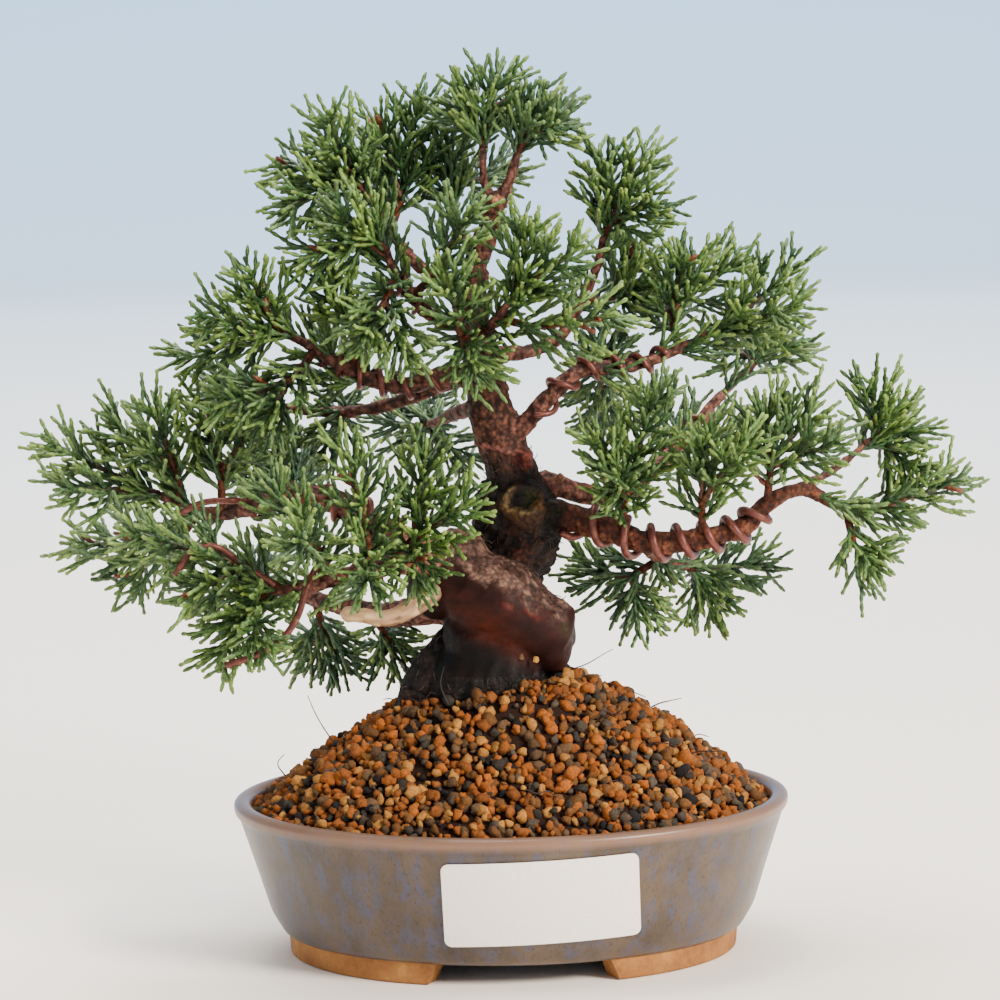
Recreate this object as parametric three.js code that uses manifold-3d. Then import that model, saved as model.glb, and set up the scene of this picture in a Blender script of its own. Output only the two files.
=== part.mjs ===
// A small itoigawa juniper bonsai in an oval glazed pot, with its training wires still on.
// Millimetres, +Z up. The origin is on the ground under the middle of the pot, and the front faces -Y.

import {
  Box3, BoxGeometry, BufferAttribute, BufferGeometry, CatmullRomCurve3, CylinderGeometry, ExtrudeGeometry,
  Group, LatheGeometry, MathUtils, Mesh, MeshStandardMaterial, QuadraticBezierCurve3, Quaternion, Shape,
  SphereGeometry, Vector2, Vector3,
} from 'three'
import { mergeVertices } from 'three/addons/utils/BufferGeometryUtils.js'
import Module from 'manifold-3d'

const wasm = await Module()
wasm.setup()

// Clearance between neighbouring pieces
const GAP = 0.3

// Pot. Each radius is the mean of the oval's two half axes, which differ from it by OVAL_OFFSET.
const OVAL_OFFSET = 7.5
const OVAL_BLEND = 20
const POT_HEIGHT = 42.5
const POT_SEGMENTS = 32
const LIP_RADIUS = 67.5
const FOOT_HEIGHT = 5.5
const FOOT_RADIUS = 53
const FOOT_WIDTH = 7
const FLOOR_TOP = 9.5
const FOOT_GAP_WIDTH = 46
const FOOT_GAP_TURN = MathUtils.degToRad(5)
const DRAIN_RADIUS = 6
const DRAIN_SPACING = 52

// Label
const LABEL_WIDTH = 51
const LABEL_HEIGHT = 22
const LABEL_THICKNESS = 0.4
const LABEL_CORNER = 2
const LABEL_COLUMNS = 8
const LABEL_CENTRE = new Vector2(7.3, 25)
const LABEL_TILT = MathUtils.degToRad(2)

// Drainage mesh
const MESH_SIZE = 18
const MESH_THICKNESS = 1
const MESH_HOLES = 3

// Soil
const SOIL_EDGE_HEIGHT = 39.5
const SOIL_PEAK_HEIGHT = 77
const SOIL_ROUNDING = 1.35
const SOIL_PEAK_SHIFT = 3
const SOIL_EDGE_RADIUS = 61
const SOIL_CLEARANCE = 0.45
const GRANULE_PITCH = 3.8
const GRANULE_HEIGHT = 2.6
const GRANULE_JITTER = 0.5
// Below the edge the soil follows the inside of the pot: pairs of a radius and a height
const SOIL_UNDERSIDE = [[61, 37], [53.2, 16.6], [48, FLOOR_TOP + MESH_THICKNESS + 2 * GAP]]

// Foliage
const TWIG_LENGTH = 6
const TWIG_RADIUS = 1
const TWIG_SQUARENESS = 0.6
const STUB_RADIUS = 1.3
const STUB_LENGTH = 3
const STUB_SIDES = 4
const LEADER_RADIUS = 1
const LEADER_BEND = 0.12
const BAND_LENGTH = 6.8
const SHOOTS_PER_BAND = 2
const SHOOT_RADIUS = 0.75
const SHOOT_LONG = 16
const SHOOT_SHORT = 8
const SHOOTS_FROM = 0.14
const SHOOTS_TO = 0.9
const SHOOT_ELBOW = 0.6
const SHOOT_FORWARD = 0.45
const SHOOT_LIFT = 0.15
const FORK_LENGTH = 4.5
const SHOOT_TRIANGLES = 11
const SHOOT_GAP = 0.6
const LONGEST_CAPSULE = 60
const OPENING_BASE = MathUtils.degToRad(58)
const OPENING_TIP = MathUtils.degToRad(36)
const GOLDEN_ANGLE = Math.PI * (3 - Math.sqrt(5))
const THIRD_TURN = 2 * Math.PI / 3
const UP = new Vector3(0, 0, 1)
const EAST = new Vector3(1, 0, 0)

// Materials
const glaze = new MeshStandardMaterial({ color: 0x6f6a66, roughness: 0.35, metalness: 0 })
const paper = new MeshStandardMaterial({ color: 0xf4f3f0, roughness: 0.7, metalness: 0 })
const meshPlastic = new MeshStandardMaterial({ color: 0x20211f, roughness: 0.6, metalness: 0 })
const granules = new MeshStandardMaterial({ color: 0x9c5a2b, roughness: 0.95, metalness: 0 })
const bark = new MeshStandardMaterial({ color: 0x5a2b20, roughness: 0.7, metalness: 0 })
const wire = new MeshStandardMaterial({ color: 0x7c4436, roughness: 0.5, metalness: 0.3 })
const foliage = new MeshStandardMaterial({ color: 0x3f7040, roughness: 0.7, metalness: 0 })

const point = (coordinates) => new Vector3(...coordinates)

// The tree's wood. The first and last radius of each limb belong to its first and last point.
const TRUNK_BASE = {
  points: [[-7, 2, 48], [-7, 2, 62], [-5, 1, 76], [-2, 0, 90]],
  radii: [17, 18, 16.5, 12],
  sides: 12,
}
const LOG = {
  points: [[14, -2, 85], [5, -4, 89.5], [-5, -5, 97], [-14, -4, 103], [-20, -3, 107]],
  radii: [8.5, 10.5, 12, 10, 7],
  sides: 11,
}
const ROOTS = [
  { points: [[-12, 1, 82], [-21, 0, 73], [-28, -1, 62]], radii: [8, 6.5, 4.5], sides: 7 },
  { points: [[6, 4, 77], [15, 8, 67], [22, 11, 57]], radii: [7, 5.5, 4], sides: 6 },
  { points: [[-4, -6, 75], [-8, -13, 64], [-11, -18, 54]], radii: [7, 4.5, 3.5], sides: 6 },
  { points: [[-6, 8, 78], [-12, 17, 70], [-16, 25, 60]], radii: [7, 5, 3.5], sides: 6 },
]
const UPPER_TRUNK = {
  points: [
    [-4, 4, 88], [-2, 6, 101], [4, 8, 111], [4, 7, 121], [1, 3, 132], [-2, 0, 141], [-4, -1, 150],
    [-6, -1, 159], [-8, 0, 170], [-8, 1, 179], [-6, 1, 187], [-3, 0, 196], [0, -2, 203],
  ],
  radii: [12, 10.5, 11, 10.5, 7, 6.5, 6.2, 5.6, 4.8, 4.2, 3.6, 3.1, 2.5],
  sides: 8,
}
const LIMBS = {
  left_low: {
    points: [
      [-16, -3, 106], [-27, -8, 112], [-36, -10, 118], [-45, -12, 124], [-57, -10, 125], [-69, -6, 122],
      [-80, -2, 120], [-93, 2, 125],
    ],
    radii: [5, 1.3],
    sides: 5,
  },
  left_front: {
    points: [[-17, -6, 107], [-29, -18, 108], [-40, -28, 107], [-51, -36, 105], [-62, -40, 104]],
    radii: [4, 1.2],
    sides: 5,
  },
  left_under: {
    points: [[-14, 0, 94], [-24, 3, 92], [-33, 10, 90], [-45, 20, 91], [-56, 32, 92], [-68, 42, 93]],
    radii: [4.5, 1.2],
    sides: 5,
  },
  left_mid: {
    points: [
      [-5, -1, 155], [-15, -4, 156], [-27, -7, 154], [-40, -9, 158], [-49, -9, 164], [-56, -8, 168],
    ],
    radii: [3, 1.3],
    sides: 5,
  },
  left_mid_back: {
    points: [[-12, -2, 155], [-22, 2, 151], [-33, 8, 147], [-48, 14, 145], [-65, 20, 147]],
    radii: [2.2, 1.1],
    sides: 4,
  },
  back_mid: {
    points: [[-2, 1, 149], [-11, 22, 144], [-21, 44, 138]],
    radii: [2.8, 1.2],
    sides: 4,
  },
  left_high: {
    points: [[-8, 0, 170], [-16, -6, 171], [-23, -10, 177], [-28, -12, 184], [-30, -12, 190]],
    radii: [2.4, 1.2],
    sides: 4,
  },
  left_top: {
    points: [[-8, 1, 178], [-16, 6, 180], [-23, 8, 186], [-30, 8, 195], [-36, 6, 205]],
    radii: [2.2, 1.2],
    sides: 4,
  },
  top_twig: {
    points: [[-6, 1, 187], [-10, 9, 193], [-13, 14, 201]],
    radii: [1.7, 1.1],
    sides: 4,
  },
  apex: {
    points: [[-1, -1, 201], [-4, 0, 207], [-4, 2, 216]],
    radii: [1.6, 1.1],
    sides: 4,
  },
  apex_right: {
    points: [[0, -1, 202], [3, -1, 208], [5, 0, 215]],
    radii: [1.6, 1.1],
    sides: 4,
  },
  right_high: {
    points: [[-4, 1, 161], [6, 8, 161], [15, 12, 164], [21, 14, 173], [26, 12, 184], [28, 10, 192]],
    radii: [2.4, 1.1],
    sides: 4,
  },
  front_high: {
    points: [[-6, -2, 164], [-3, -14, 170], [2, -24, 177]],
    radii: [1.8, 1.1],
    sides: 4,
  },
  right_mid: {
    points: [
      [-1, 0, 138], [6, -3, 143], [13, -6, 151], [21, -6, 157], [36, -2, 158], [50, 2, 163], [57, 3, 166],
    ],
    radii: [2.9, 1.2],
    sides: 5,
  },
  right_back: {
    points: [
      [10, 8, 126], [20, 14, 122], [31, 22, 120], [41, 34, 125], [52, 44, 135], [61, 50, 144], [69, 52, 151],
    ],
    radii: [3.2, 1.2],
    sides: 5,
  },
  right_low: {
    points: [
      [8, 5, 119], [17, 1, 117], [26, -4, 115], [37, -8, 111], [52, -10, 112], [63, -10, 115], [70, -8, 121],
      [79, -4, 124], [89, 0, 119], [98, 2, 118],
    ],
    radii: [5.5, 1.3],
    sides: 5,
  },
  right_fork: {
    points: [[78, -4, 124], [88, 3, 128], [97, 8, 134]],
    radii: [1.5, 1.1],
    sides: 4,
  },
  right_under: {
    points: [[36, -7, 111], [40, 10, 105], [50, 28, 99]],
    radii: [2.2, 1.1],
    sides: 4,
  },
}
const DEAD_LIMB = {
  points: [[-17, -8, 101], [-24, -12, 96], [-31, -14, 93], [-43, -18, 95]],
  radii: [3, 1.8],
  sides: 6,
}

// The healed cut on the upper trunk, and the bud above it
const SCAR = { from: [6, 6, 120], to: [4.5, -5.5, 121], radius: 6.6, hollowRadius: 4.2, hollowDepth: 1.6 }
const BUD = { at: [4.5, -3.5, 133], radius: 3 }

// Training wires. Each turns round its limb from one share of the length to another.
const WIRES = [
  { name: 'wire_left_low', limb: 'left_low', from: 0.2, to: 0.72, turns: 5, radius: 0.9 },
  { name: 'wire_left_mid', limb: 'left_mid', from: 0.22, to: 0.8, turns: 5, radius: 0.8 },
  { name: 'wire_left_high', limb: 'left_high', from: 0.2, to: 0.8, turns: 3, radius: 0.7 },
  { name: 'wire_right_mid', limb: 'right_mid', from: 0.2, to: 0.78, turns: 5, radius: 0.8 },
  { name: 'wire_right_back', limb: 'right_back', from: 0.25, to: 0.8, turns: 4, radius: 0.7 },
  { name: 'wire_right_low', limb: 'right_low', from: 0.1, to: 0.66, turns: 7.25, radius: 1.1 },
  {
    name: 'wire_left_front',
    limb: 'left_front',
    from: 0.3,
    to: 0.6,
    turns: 2,
    radius: 0.9,
    tail: [[-48, -46, 112], [-51, -50, 107], [-54, -53, 99], [-59, -55, 93], [-66, -56, 90], [-72, -56, 88]],
  },
]
const WIRE_SIDES = 4
const WIRE_STEPS_PER_TURN = 6
const WIRE_SLACK = 0.4
const WIRE_TRIES = 24

// Sprays. Each grows at a share of its limb's length, and its leaders reach to the named tips.
const SPRAYS = [
  { name: 'apex_left', limb: 'apex', along: 1, tips: [[0, 0, 235], [-11, 6, 228]] },
  { name: 'apex_right', limb: 'apex_right', along: 1, tips: [[16, -6, 223], [10, 6, 227]] },
  { name: 'crown_left', limb: 'left_top', along: 1, tips: [[-60, 2, 213], [-57, -14, 201], [-45, -8, 227]] },
  {
    name: 'crown_back',
    limb: 'left_top',
    along: 0.7,
    tips: [[-33, 12, 227], [-21, 20, 231], [-37, 44, 215]],
  },
  { name: 'crown_middle', limb: 'top_twig', along: 1, tips: [[-14, 22, 221], [4, 38, 209]] },
  { name: 'high_left', limb: 'left_high', along: 1, tips: [[-53, -14, 188], [-43, -22, 200]] },
  { name: 'high_hanging', limb: 'left_high', along: 0.8, tips: [[-36, -32, 168], [-24, -30, 161]] },
  { name: 'high_inner', limb: 'left_high', along: 0.6, tips: [[-8, -24, 202]] },
  { name: 'mid_left', limb: 'left_mid', along: 1, tips: [[-79, -17, 174], [-88, 2, 160], [-66, -21, 187]] },
  { name: 'mid_left_low', limb: 'left_mid', along: 0.86, tips: [[-75, -26, 151], [-63, -24, 146]] },
  { name: 'mid_left_top', limb: 'left_mid', along: 0.66, tips: [[-46, -10, 181]] },
  { name: 'mid_left_back', limb: 'left_mid_back', along: 1, tips: [[-80, 36, 149], [-74, 52, 137]] },
  { name: 'mid_left_inner', limb: 'left_mid_back', along: 0.65, tips: [[-52, 36, 128], [-48, 46, 163]] },
  { name: 'back', limb: 'back_mid', along: 1, tips: [[-33, 64, 137], [-9, 62, 124], [-21, 72, 143]] },
  { name: 'low_left_tip', limb: 'left_low', along: 1, tips: [[-124, 2, 141], [-120, -8, 128]] },
  { name: 'low_left_top', limb: 'left_low', along: 0.92, tips: [[-108, 4, 146], [-93, -10, 150]] },
  { name: 'low_left_inner', limb: 'left_low', along: 0.78, tips: [[-82, 6, 149], [-62, -8, 148]] },
  { name: 'low_left_under', limb: 'left_low', along: 0.86, tips: [[-122, 20, 110], [-106, 12, 99]] },
  { name: 'low_left_back', limb: 'left_low', along: 0.55, tips: [[-75, 46, 126], [-60, 40, 135]] },
  { name: 'front_left_tip', limb: 'left_front', along: 1, tips: [[-75, -46, 86], [-63, -62, 94]] },
  { name: 'front_left_side', limb: 'left_front', along: 0.92, tips: [[-101, -40, 122], [-84, -50, 104]] },
  { name: 'front_left_top', limb: 'left_front', along: 0.72, tips: [[-63, -38, 133], [-53, -72, 122]] },
  { name: 'front_middle', limb: 'left_front', along: 0.52, tips: [[-41, -42, 144], [-36, -64, 107]] },
  {
    name: 'front_inner',
    limb: 'left_front',
    along: 0.34,
    tips: [[-20, -36, 143], [-8, -42, 128], [-24, -44, 108]],
  },
  { name: 'under_left', limb: 'left_under', along: 1, tips: [[-87, 56, 87], [-70, 70, 94]] },
  { name: 'under_left_hanging', limb: 'left_under', along: 0.72, tips: [[-59, 50, 73], [-46, 38, 71]] },
  { name: 'under_left_inner', limb: 'left_under', along: 0.4, tips: [[-32, 30, 76]] },
  { name: 'right_high', limb: 'right_high', along: 1, tips: [[27, 12, 215], [40, 6, 214], [42, 0, 201]] },
  { name: 'right_high_low', limb: 'right_high', along: 0.62, tips: [[37, 26, 189], [34, 16, 176]] },
  { name: 'front_high', limb: 'front_high', along: 1, tips: [[7, -30, 197], [21, -38, 192]] },
  { name: 'front_high_low', limb: 'front_high', along: 0.68, tips: [[30, -34, 174]] },
  { name: 'front_high_inner', limb: 'front_high', along: 0.4, tips: [[-13, -34, 185], [-7, -26, 159]] },
  { name: 'right_mid', limb: 'right_mid', along: 1, tips: [[80, 7, 184], [79, -11, 173]] },
  {
    name: 'right_mid_top',
    limb: 'right_mid',
    along: 0.84,
    tips: [[50, -1, 187], [66, 14, 186], [42, 26, 173]],
  },
  { name: 'right_mid_back', limb: 'right_mid', along: 0.55, tips: [[28, 34, 163], [27, 42, 135]] },
  { name: 'right_back', limb: 'right_back', along: 1, tips: [[83, 58, 157], [61, 62, 157]] },
  { name: 'right_back_low', limb: 'right_back', along: 0.6, tips: [[41, 54, 144], [77, 72, 133]] },
  { name: 'right_tip', limb: 'right_low', along: 1, tips: [[124, 4, 125]] },
  { name: 'right_hanging', limb: 'right_low', along: 0.93, tips: [[97, -4, 106]] },
  {
    name: 'right_front',
    limb: 'right_low',
    along: 0.26,
    tips: [[23, -28, 143], [40, -24, 155], [28, -36, 134]],
  },
  { name: 'right_middle', limb: 'right_low', along: 0.48, tips: [[52, -22, 141], [63, -32, 140]] },
  {
    name: 'right_outer',
    limb: 'right_low',
    along: 0.68,
    tips: [[69, -6, 148], [83, -12, 148], [87, -24, 138]],
  },
  { name: 'right_fork', limb: 'right_fork', along: 1, tips: [[99, 6, 150], [108, 14, 138], [110, 5, 127]] },
  { name: 'right_under', limb: 'right_under', along: 1, tips: [[73, 38, 98], [57, 36, 87]] },
  { name: 'right_under_inner', limb: 'right_under', along: 0.6, tips: [[21, 26, 99], [38, 26, 86]] },
]

// A repeatable draw between 0 and 1: the digits far behind the point of a sine
function chance(seed) {
  const wave = Math.sin(seed * 12.9898) * 43758.5453
  return wave - Math.floor(wave)
}

// Solids from geometries and back
function solid(geometry) {
  const bare = new BufferGeometry()
  bare.setAttribute('position', geometry.getAttribute('position'))
  bare.setIndex(geometry.getIndex())
  const merged = mergeVertices(bare, 1e-4)
  return new wasm.Manifold(new wasm.Mesh({
    numProp: 3,
    vertProperties: Float32Array.from(merged.getAttribute('position').array),
    triVerts: Uint32Array.from(merged.getIndex().array),
  }))
}

function geometryOf(manifold) {
  const mesh = manifold.getMesh()
  const geometry = new BufferGeometry()
  geometry.setAttribute('position', new BufferAttribute(Float32Array.from(mesh.vertProperties), 3))
  geometry.setIndex(new BufferAttribute(Uint32Array.from(mesh.triVerts), 1))
  geometry.computeVertexNormals()
  return geometry
}

function joined(solids) {
  return solids.reduce((whole, next) => whole.add(next))
}

// Only the largest body of a cut piece is kept
function largestBody(manifold) {
  const bodies = manifold.decompose()
  return bodies.reduce((best, next) => (next.volume() > best.volume() ? next : best))
}

// A tube along a curve whose radius follows radiusAt(share), flat at the start, flat or pointed at the end
function sweptTube(curve, radiusAt, sides, steps, pointed = false) {
  const geometry = new CylinderGeometry(pointed ? 0 : 1, 1, 1, sides, steps)
  const { normals, binormals } = curve.computeFrenetFrames(steps)
  const position = geometry.getAttribute('position')
  const offset = new Vector3()
  for (let i = 0; i < position.count; i++) {
    const share = position.getY(i) + 0.5
    const ring = Math.round(share * steps)
    const across = new Vector2(position.getX(i), position.getZ(i)).normalize()
    offset.copy(normals[ring]).multiplyScalar(across.x)
    offset.addScaledVector(binormals[ring], -across.y)
    offset.multiplyScalar(radiusAt(share)).add(curve.getPointAt(share))
    position.setXYZ(i, offset.x, offset.y, offset.z)
  }
  return geometry
}

function radiusAlong(radii) {
  return (share) => {
    const place = share * (radii.length - 1)
    const index = Math.min(Math.floor(place), radii.length - 2)
    return MathUtils.lerp(radii[index], radii[index + 1], place - index)
  }
}

// Woody pieces
function curveOf(wood) {
  return new CatmullRomCurve3(wood.points.map(point), false, 'centripetal')
}

function woodTube(wood, steps, growth = 0) {
  const radiusAt = radiusAlong(wood.radii)
  return solid(sweptTube(curveOf(wood), (share) => radiusAt(share) + growth, wood.sides, steps))
}

function trunkFoot(growth) {
  return joined([
    woodTube(TRUNK_BASE, 6, growth),
    woodTube(LOG, 7, growth),
    ...ROOTS.map((root) => woodTube(root, 3, growth)),
  ])
}

// Capsules are used to keep shoots clear of each other: each has two ends and a radius
function capsulesAlong(curve, radiusAt, steps) {
  const capsules = []
  for (let i = 0; i < steps; i++) {
    capsules.push({
      start: curve.getPointAt(i / steps),
      end: curve.getPointAt((i + 1) / steps),
      radius: Math.max(radiusAt(i / steps), radiusAt((i + 1) / steps)),
    })
  }
  return capsules
}

// The distance between two straight segments
function segmentDistance(startA, endA, startB, endB) {
  const alongA = endA.clone().sub(startA)
  const alongB = endB.clone().sub(startB)
  const between = startA.clone().sub(startB)
  const squareA = alongA.dot(alongA)
  const squareB = alongB.dot(alongB)
  const mixed = alongA.dot(alongB)
  const reachA = alongA.dot(between)
  const reachB = alongB.dot(between)
  const spread = squareA * squareB - mixed * mixed
  const first = spread > 1e-9 ? MathUtils.clamp((mixed * reachB - reachA * squareB) / spread, 0, 1) : 0
  const shareB = MathUtils.clamp((mixed * first + reachB) / squareB, 0, 1)
  const shareA = MathUtils.clamp((mixed * shareB - reachA) / squareA, 0, 1)
  return between.addScaledVector(alongA, shareA).addScaledVector(alongB, -shareB).length()
}

function touches(capsule, others, clearance) {
  return others.some((other) => {
    const reach = capsule.radius + other.radius + clearance
    if (capsule.start.distanceTo(other.start) > reach + LONGEST_CAPSULE) {
      return false
    }
    return segmentDistance(capsule.start, capsule.end, other.start, other.end) < reach
  })
}

// Pot
function ovalFromRound(geometry) {
  const position = geometry.getAttribute('position')
  for (let i = 0; i < position.count; i++) {
    const radius = Math.hypot(position.getX(i), position.getY(i))
    if (radius > 0) {
      const offset = OVAL_OFFSET * Math.min(1, radius / OVAL_BLEND)
      position.setX(i, position.getX(i) * (radius + offset) / radius)
      position.setY(i, position.getY(i) * (radius - offset) / radius)
    }
  }
  return geometry
}

function ovalLathe(profile, segments) {
  const points = profile.map(([radius, height]) => new Vector2(radius, height))
  return ovalFromRound(new LatheGeometry(points, segments).rotateX(Math.PI / 2))
}

// The wall's outer radius between the foot and the lip
const WALL_OUTSIDE = [[FOOT_RADIUS + 0.3, FOOT_HEIGHT], [55.4, 7], [58, 12], [66.2, 38.4]]

function wallRadius(height) {
  const upper = WALL_OUTSIDE.findIndex(([, level]) => level > height)
  const [lowRadius, lowHeight] = WALL_OUTSIDE[upper - 1]
  const [highRadius, highHeight] = WALL_OUTSIDE[upper]
  return MathUtils.mapLinear(height, lowHeight, highHeight, lowRadius, highRadius)
}

function footGapTool() {
  const bottom = FOOT_GAP_WIDTH / 2 + 1.5
  const top = FOOT_GAP_WIDTH / 2 - 1
  const corners = [[-bottom, -1], [bottom, -1], [top, FOOT_HEIGHT], [-top, FOOT_HEIGHT]]
  const outline = new Shape(corners.map(([x, y]) => new Vector2(x, y)))
  const depth = 2 * LIP_RADIUS
  const tool = new ExtrudeGeometry(outline, { depth, bevelEnabled: false })
  return solid(tool.translate(0, 0, -depth / 2).rotateX(Math.PI / 2).rotateZ(FOOT_GAP_TURN))
}

function drainTool(side) {
  const tool = new CylinderGeometry(DRAIN_RADIUS, DRAIN_RADIUS, 3 * FLOOR_TOP, 12).rotateX(Math.PI / 2)
  return solid(tool.translate(side * DRAIN_SPACING / 2, 0, 0))
}

function makePot() {
  const lip = [
    [LIP_RADIUS, 39.6], [LIP_RADIUS, 41.4], [LIP_RADIUS - 1.2, POT_HEIGHT], [LIP_RADIUS - 3.6, POT_HEIGHT],
    [LIP_RADIUS - 4.8, 41],
  ]
  const inside = [[61.8, 37], [54, 16], [50, 11], [45, FLOOR_TOP]]
  const profile = [[0, FOOT_HEIGHT], ...WALL_OUTSIDE, ...lip, ...inside, [0, FLOOR_TOP]]
  const body = solid(ovalLathe(profile, POT_SEGMENTS))
  const footInside = FOOT_RADIUS - FOOT_WIDTH
  const ring = [
    [FOOT_RADIUS, 0], [FOOT_RADIUS + 0.3, FOOT_HEIGHT + 0.6], [footInside - 1, FOOT_HEIGHT + 0.6],
    [footInside, 0], [FOOT_RADIUS, 0],
  ]
  const feet = solid(ovalLathe(ring, POT_SEGMENTS)).subtract(footGapTool())
  return body.add(feet).subtract(drainTool(-1)).subtract(drainTool(1))
}

// Label, bent round the wall
function makeLabel() {
  const geometry = new BoxGeometry(LABEL_WIDTH, LABEL_THICKNESS, LABEL_HEIGHT, LABEL_COLUMNS, 1, 1)
  const position = geometry.getAttribute('position')
  const half = LABEL_WIDTH / 2
  for (let i = 0; i < position.count; i++) {
    const column = Math.round((position.getX(i) + half) / LABEL_WIDTH * LABEL_COLUMNS)
    const atEnd = column === 0 || column === LABEL_COLUMNS
    const nextToEnd = column === 1 || column === LABEL_COLUMNS - 1
    const x = nextToEnd ? Math.sign(position.getX(i)) * (half - LABEL_CORNER) : position.getX(i)
    const z = position.getZ(i) - (atEnd ? Math.sign(position.getZ(i)) * LABEL_CORNER : 0)
    const across = LABEL_CENTRE.x + x * Math.cos(LABEL_TILT) - z * Math.sin(LABEL_TILT)
    const height = LABEL_CENTRE.y + x * Math.sin(LABEL_TILT) + z * Math.cos(LABEL_TILT)
    const radius = wallRadius(height) + GAP + LABEL_THICKNESS / 2 - position.getY(i)
    const run = across / (radius + OVAL_OFFSET)
    position.setXYZ(i, across, -(radius - OVAL_OFFSET) * Math.sqrt(1 - run * run), height)
  }
  return solid(geometry)
}

// Drainage mesh over each hole
function makeDrainMesh(side) {
  const pitch = MESH_SIZE / (MESH_HOLES + 0.5)
  const hole = 0.64 * pitch
  let sheet = solid(new BoxGeometry(MESH_SIZE, MESH_SIZE, MESH_THICKNESS))
  for (let column = 0; column < MESH_HOLES; column++) {
    for (let row = 0; row < MESH_HOLES; row++) {
      const x = (column - (MESH_HOLES - 1) / 2) * pitch
      const y = (row - (MESH_HOLES - 1) / 2) * pitch
      sheet = sheet.subtract(solid(new BoxGeometry(hole, hole, 2 * MESH_THICKNESS).translate(x, y, 0)))
    }
  }
  return sheet.translate([side * DRAIN_SPACING / 2, 0, FLOOR_TOP + GAP + MESH_THICKNESS / 2])
}

// Soil: rings of points from the middle to the edge, every other point of every other ring raised
function soilHeight(share) {
  return MathUtils.lerp(SOIL_PEAK_HEIGHT, SOIL_EDGE_HEIGHT, share ** SOIL_ROUNDING)
}

function soilRing(radius, count, height, shift) {
  const offset = OVAL_OFFSET * Math.min(1, radius / OVAL_BLEND)
  return Array.from({ length: count }, (_, i) => {
    const turn = i / count * 2 * Math.PI
    return new Vector3((radius + offset) * Math.cos(turn) + shift, (radius - offset) * Math.sin(turn), height)
  })
}

function soilRings() {
  const ringCount = Math.round(SOIL_EDGE_RADIUS / GRANULE_PITCH)
  const rings = []
  for (let ring = 1; ring <= ringCount; ring++) {
    const share = ring / ringCount
    const radius = share * SOIL_EDGE_RADIUS
    const atEdge = ring === ringCount
    const count = atEdge ? 2 * POT_SEGMENTS : 2 * Math.max(3, Math.round(Math.PI * radius / GRANULE_PITCH))
    const points = soilRing(radius, count, soilHeight(share), SOIL_PEAK_SHIFT * (1 - share))
    if (!atEdge) {
      points.forEach((place, i) => {
        const raised = ring % 2 === 0 && i % 2 === 0
        const seed = ring * 200 + i
        place.x += GRANULE_JITTER * (2 * chance(seed) - 1)
        place.y += GRANULE_JITTER * (2 * chance(seed + 0.3) - 1)
        place.z += raised ? GRANULE_HEIGHT * (0.6 + 0.7 * chance(seed + 0.6)) : 0
      })
    }
    rings.push(points)
  }
  rings.push(...SOIL_UNDERSIDE.map(([radius, height]) => soilRing(radius, POT_SEGMENTS, height, 0)))
  return rings
}

// Triangles between two rings of points, whatever their counts
function stitch(triangles, inner, outer, innerStart, outerStart) {
  let i = 0
  let j = 0
  while (i < inner.length || j < outer.length) {
    const innerNext = (i + 1) / inner.length
    const outerNext = (j + 1) / outer.length
    const a = innerStart + i % inner.length
    const b = outerStart + j % outer.length
    if (j < outer.length && outerNext <= innerNext || i === inner.length) {
      j += 1
      triangles.push(a, b, outerStart + j % outer.length)
    } else {
      i += 1
      triangles.push(a, b, innerStart + i % inner.length)
    }
  }
}

function soilMound() {
  const rings = soilRings()
  const places = [new Vector3(SOIL_PEAK_SHIFT, 0, SOIL_PEAK_HEIGHT)]
  const triangles = []
  let previousStart = 0
  let previous = [places[0]]
  for (const ring of rings) {
    const start = places.length
    places.push(...ring)
    if (previousStart === 0) {
      ring.forEach((_, i) => triangles.push(0, start + i, start + (i + 1) % ring.length))
    } else {
      stitch(triangles, previous, ring, previousStart, start)
    }
    previous = ring
    previousStart = start
  }
  const bottom = places.length
  places.push(new Vector3(0, 0, previous[0].z))
  previous.forEach((_, i) => {
    triangles.push(bottom, previousStart + (i + 1) % previous.length, previousStart + i)
  })
  const geometry = new BufferGeometry().setFromPoints(places)
  geometry.setIndex(triangles)
  return solid(geometry)
}

function makeSoil() {
  return largestBody(soilMound().subtract(trunkFoot(SOIL_CLEARANCE)))
}

// Limbs, twigs and sprays
const limbs = { upper: { ...UPPER_TRUNK, steps: 12 } }
for (const [name, limb] of Object.entries(LIMBS)) {
  limbs[name] = { ...limb, steps: limb.points.length + 1 }
}
for (const limb of Object.values(limbs)) {
  limb.curve = curveOf(limb)
  limb.radiusAt = radiusAlong(limb.radii)
}

// Where a spray starts: just past the limb's end, or past the end of a side twig
function placeSpray(spray) {
  const limb = limbs[spray.limb]
  const root = limb.curve.getPointAt(spray.along)
  const tangent = limb.curve.getTangentAt(spray.along)
  const tips = spray.tips.map(point)
  const middle = tips.reduce((sum, tip) => sum.add(tip), new Vector3()).divideScalar(tips.length)
  const out = middle.sub(root).normalize()
  if (spray.along === 1) {
    out.lerp(tangent, 0.5).normalize()
    const clear = GAP + STUB_RADIUS * Math.sin(out.angleTo(tangent))
    return { ...spray, tips, out, start: root.clone().addScaledVector(tangent, clear), twig: null }
  }
  out.addScaledVector(tangent, -TWIG_SQUARENESS * out.dot(tangent)).normalize()
  const twigEnd = root.clone().addScaledVector(out, limb.radiusAt(spray.along) + TWIG_LENGTH)
  return { ...spray, tips, out, start: twigEnd.clone().addScaledVector(out, GAP), twig: [root, twigEnd] }
}

const sprays = SPRAYS.map(placeSpray)

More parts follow.
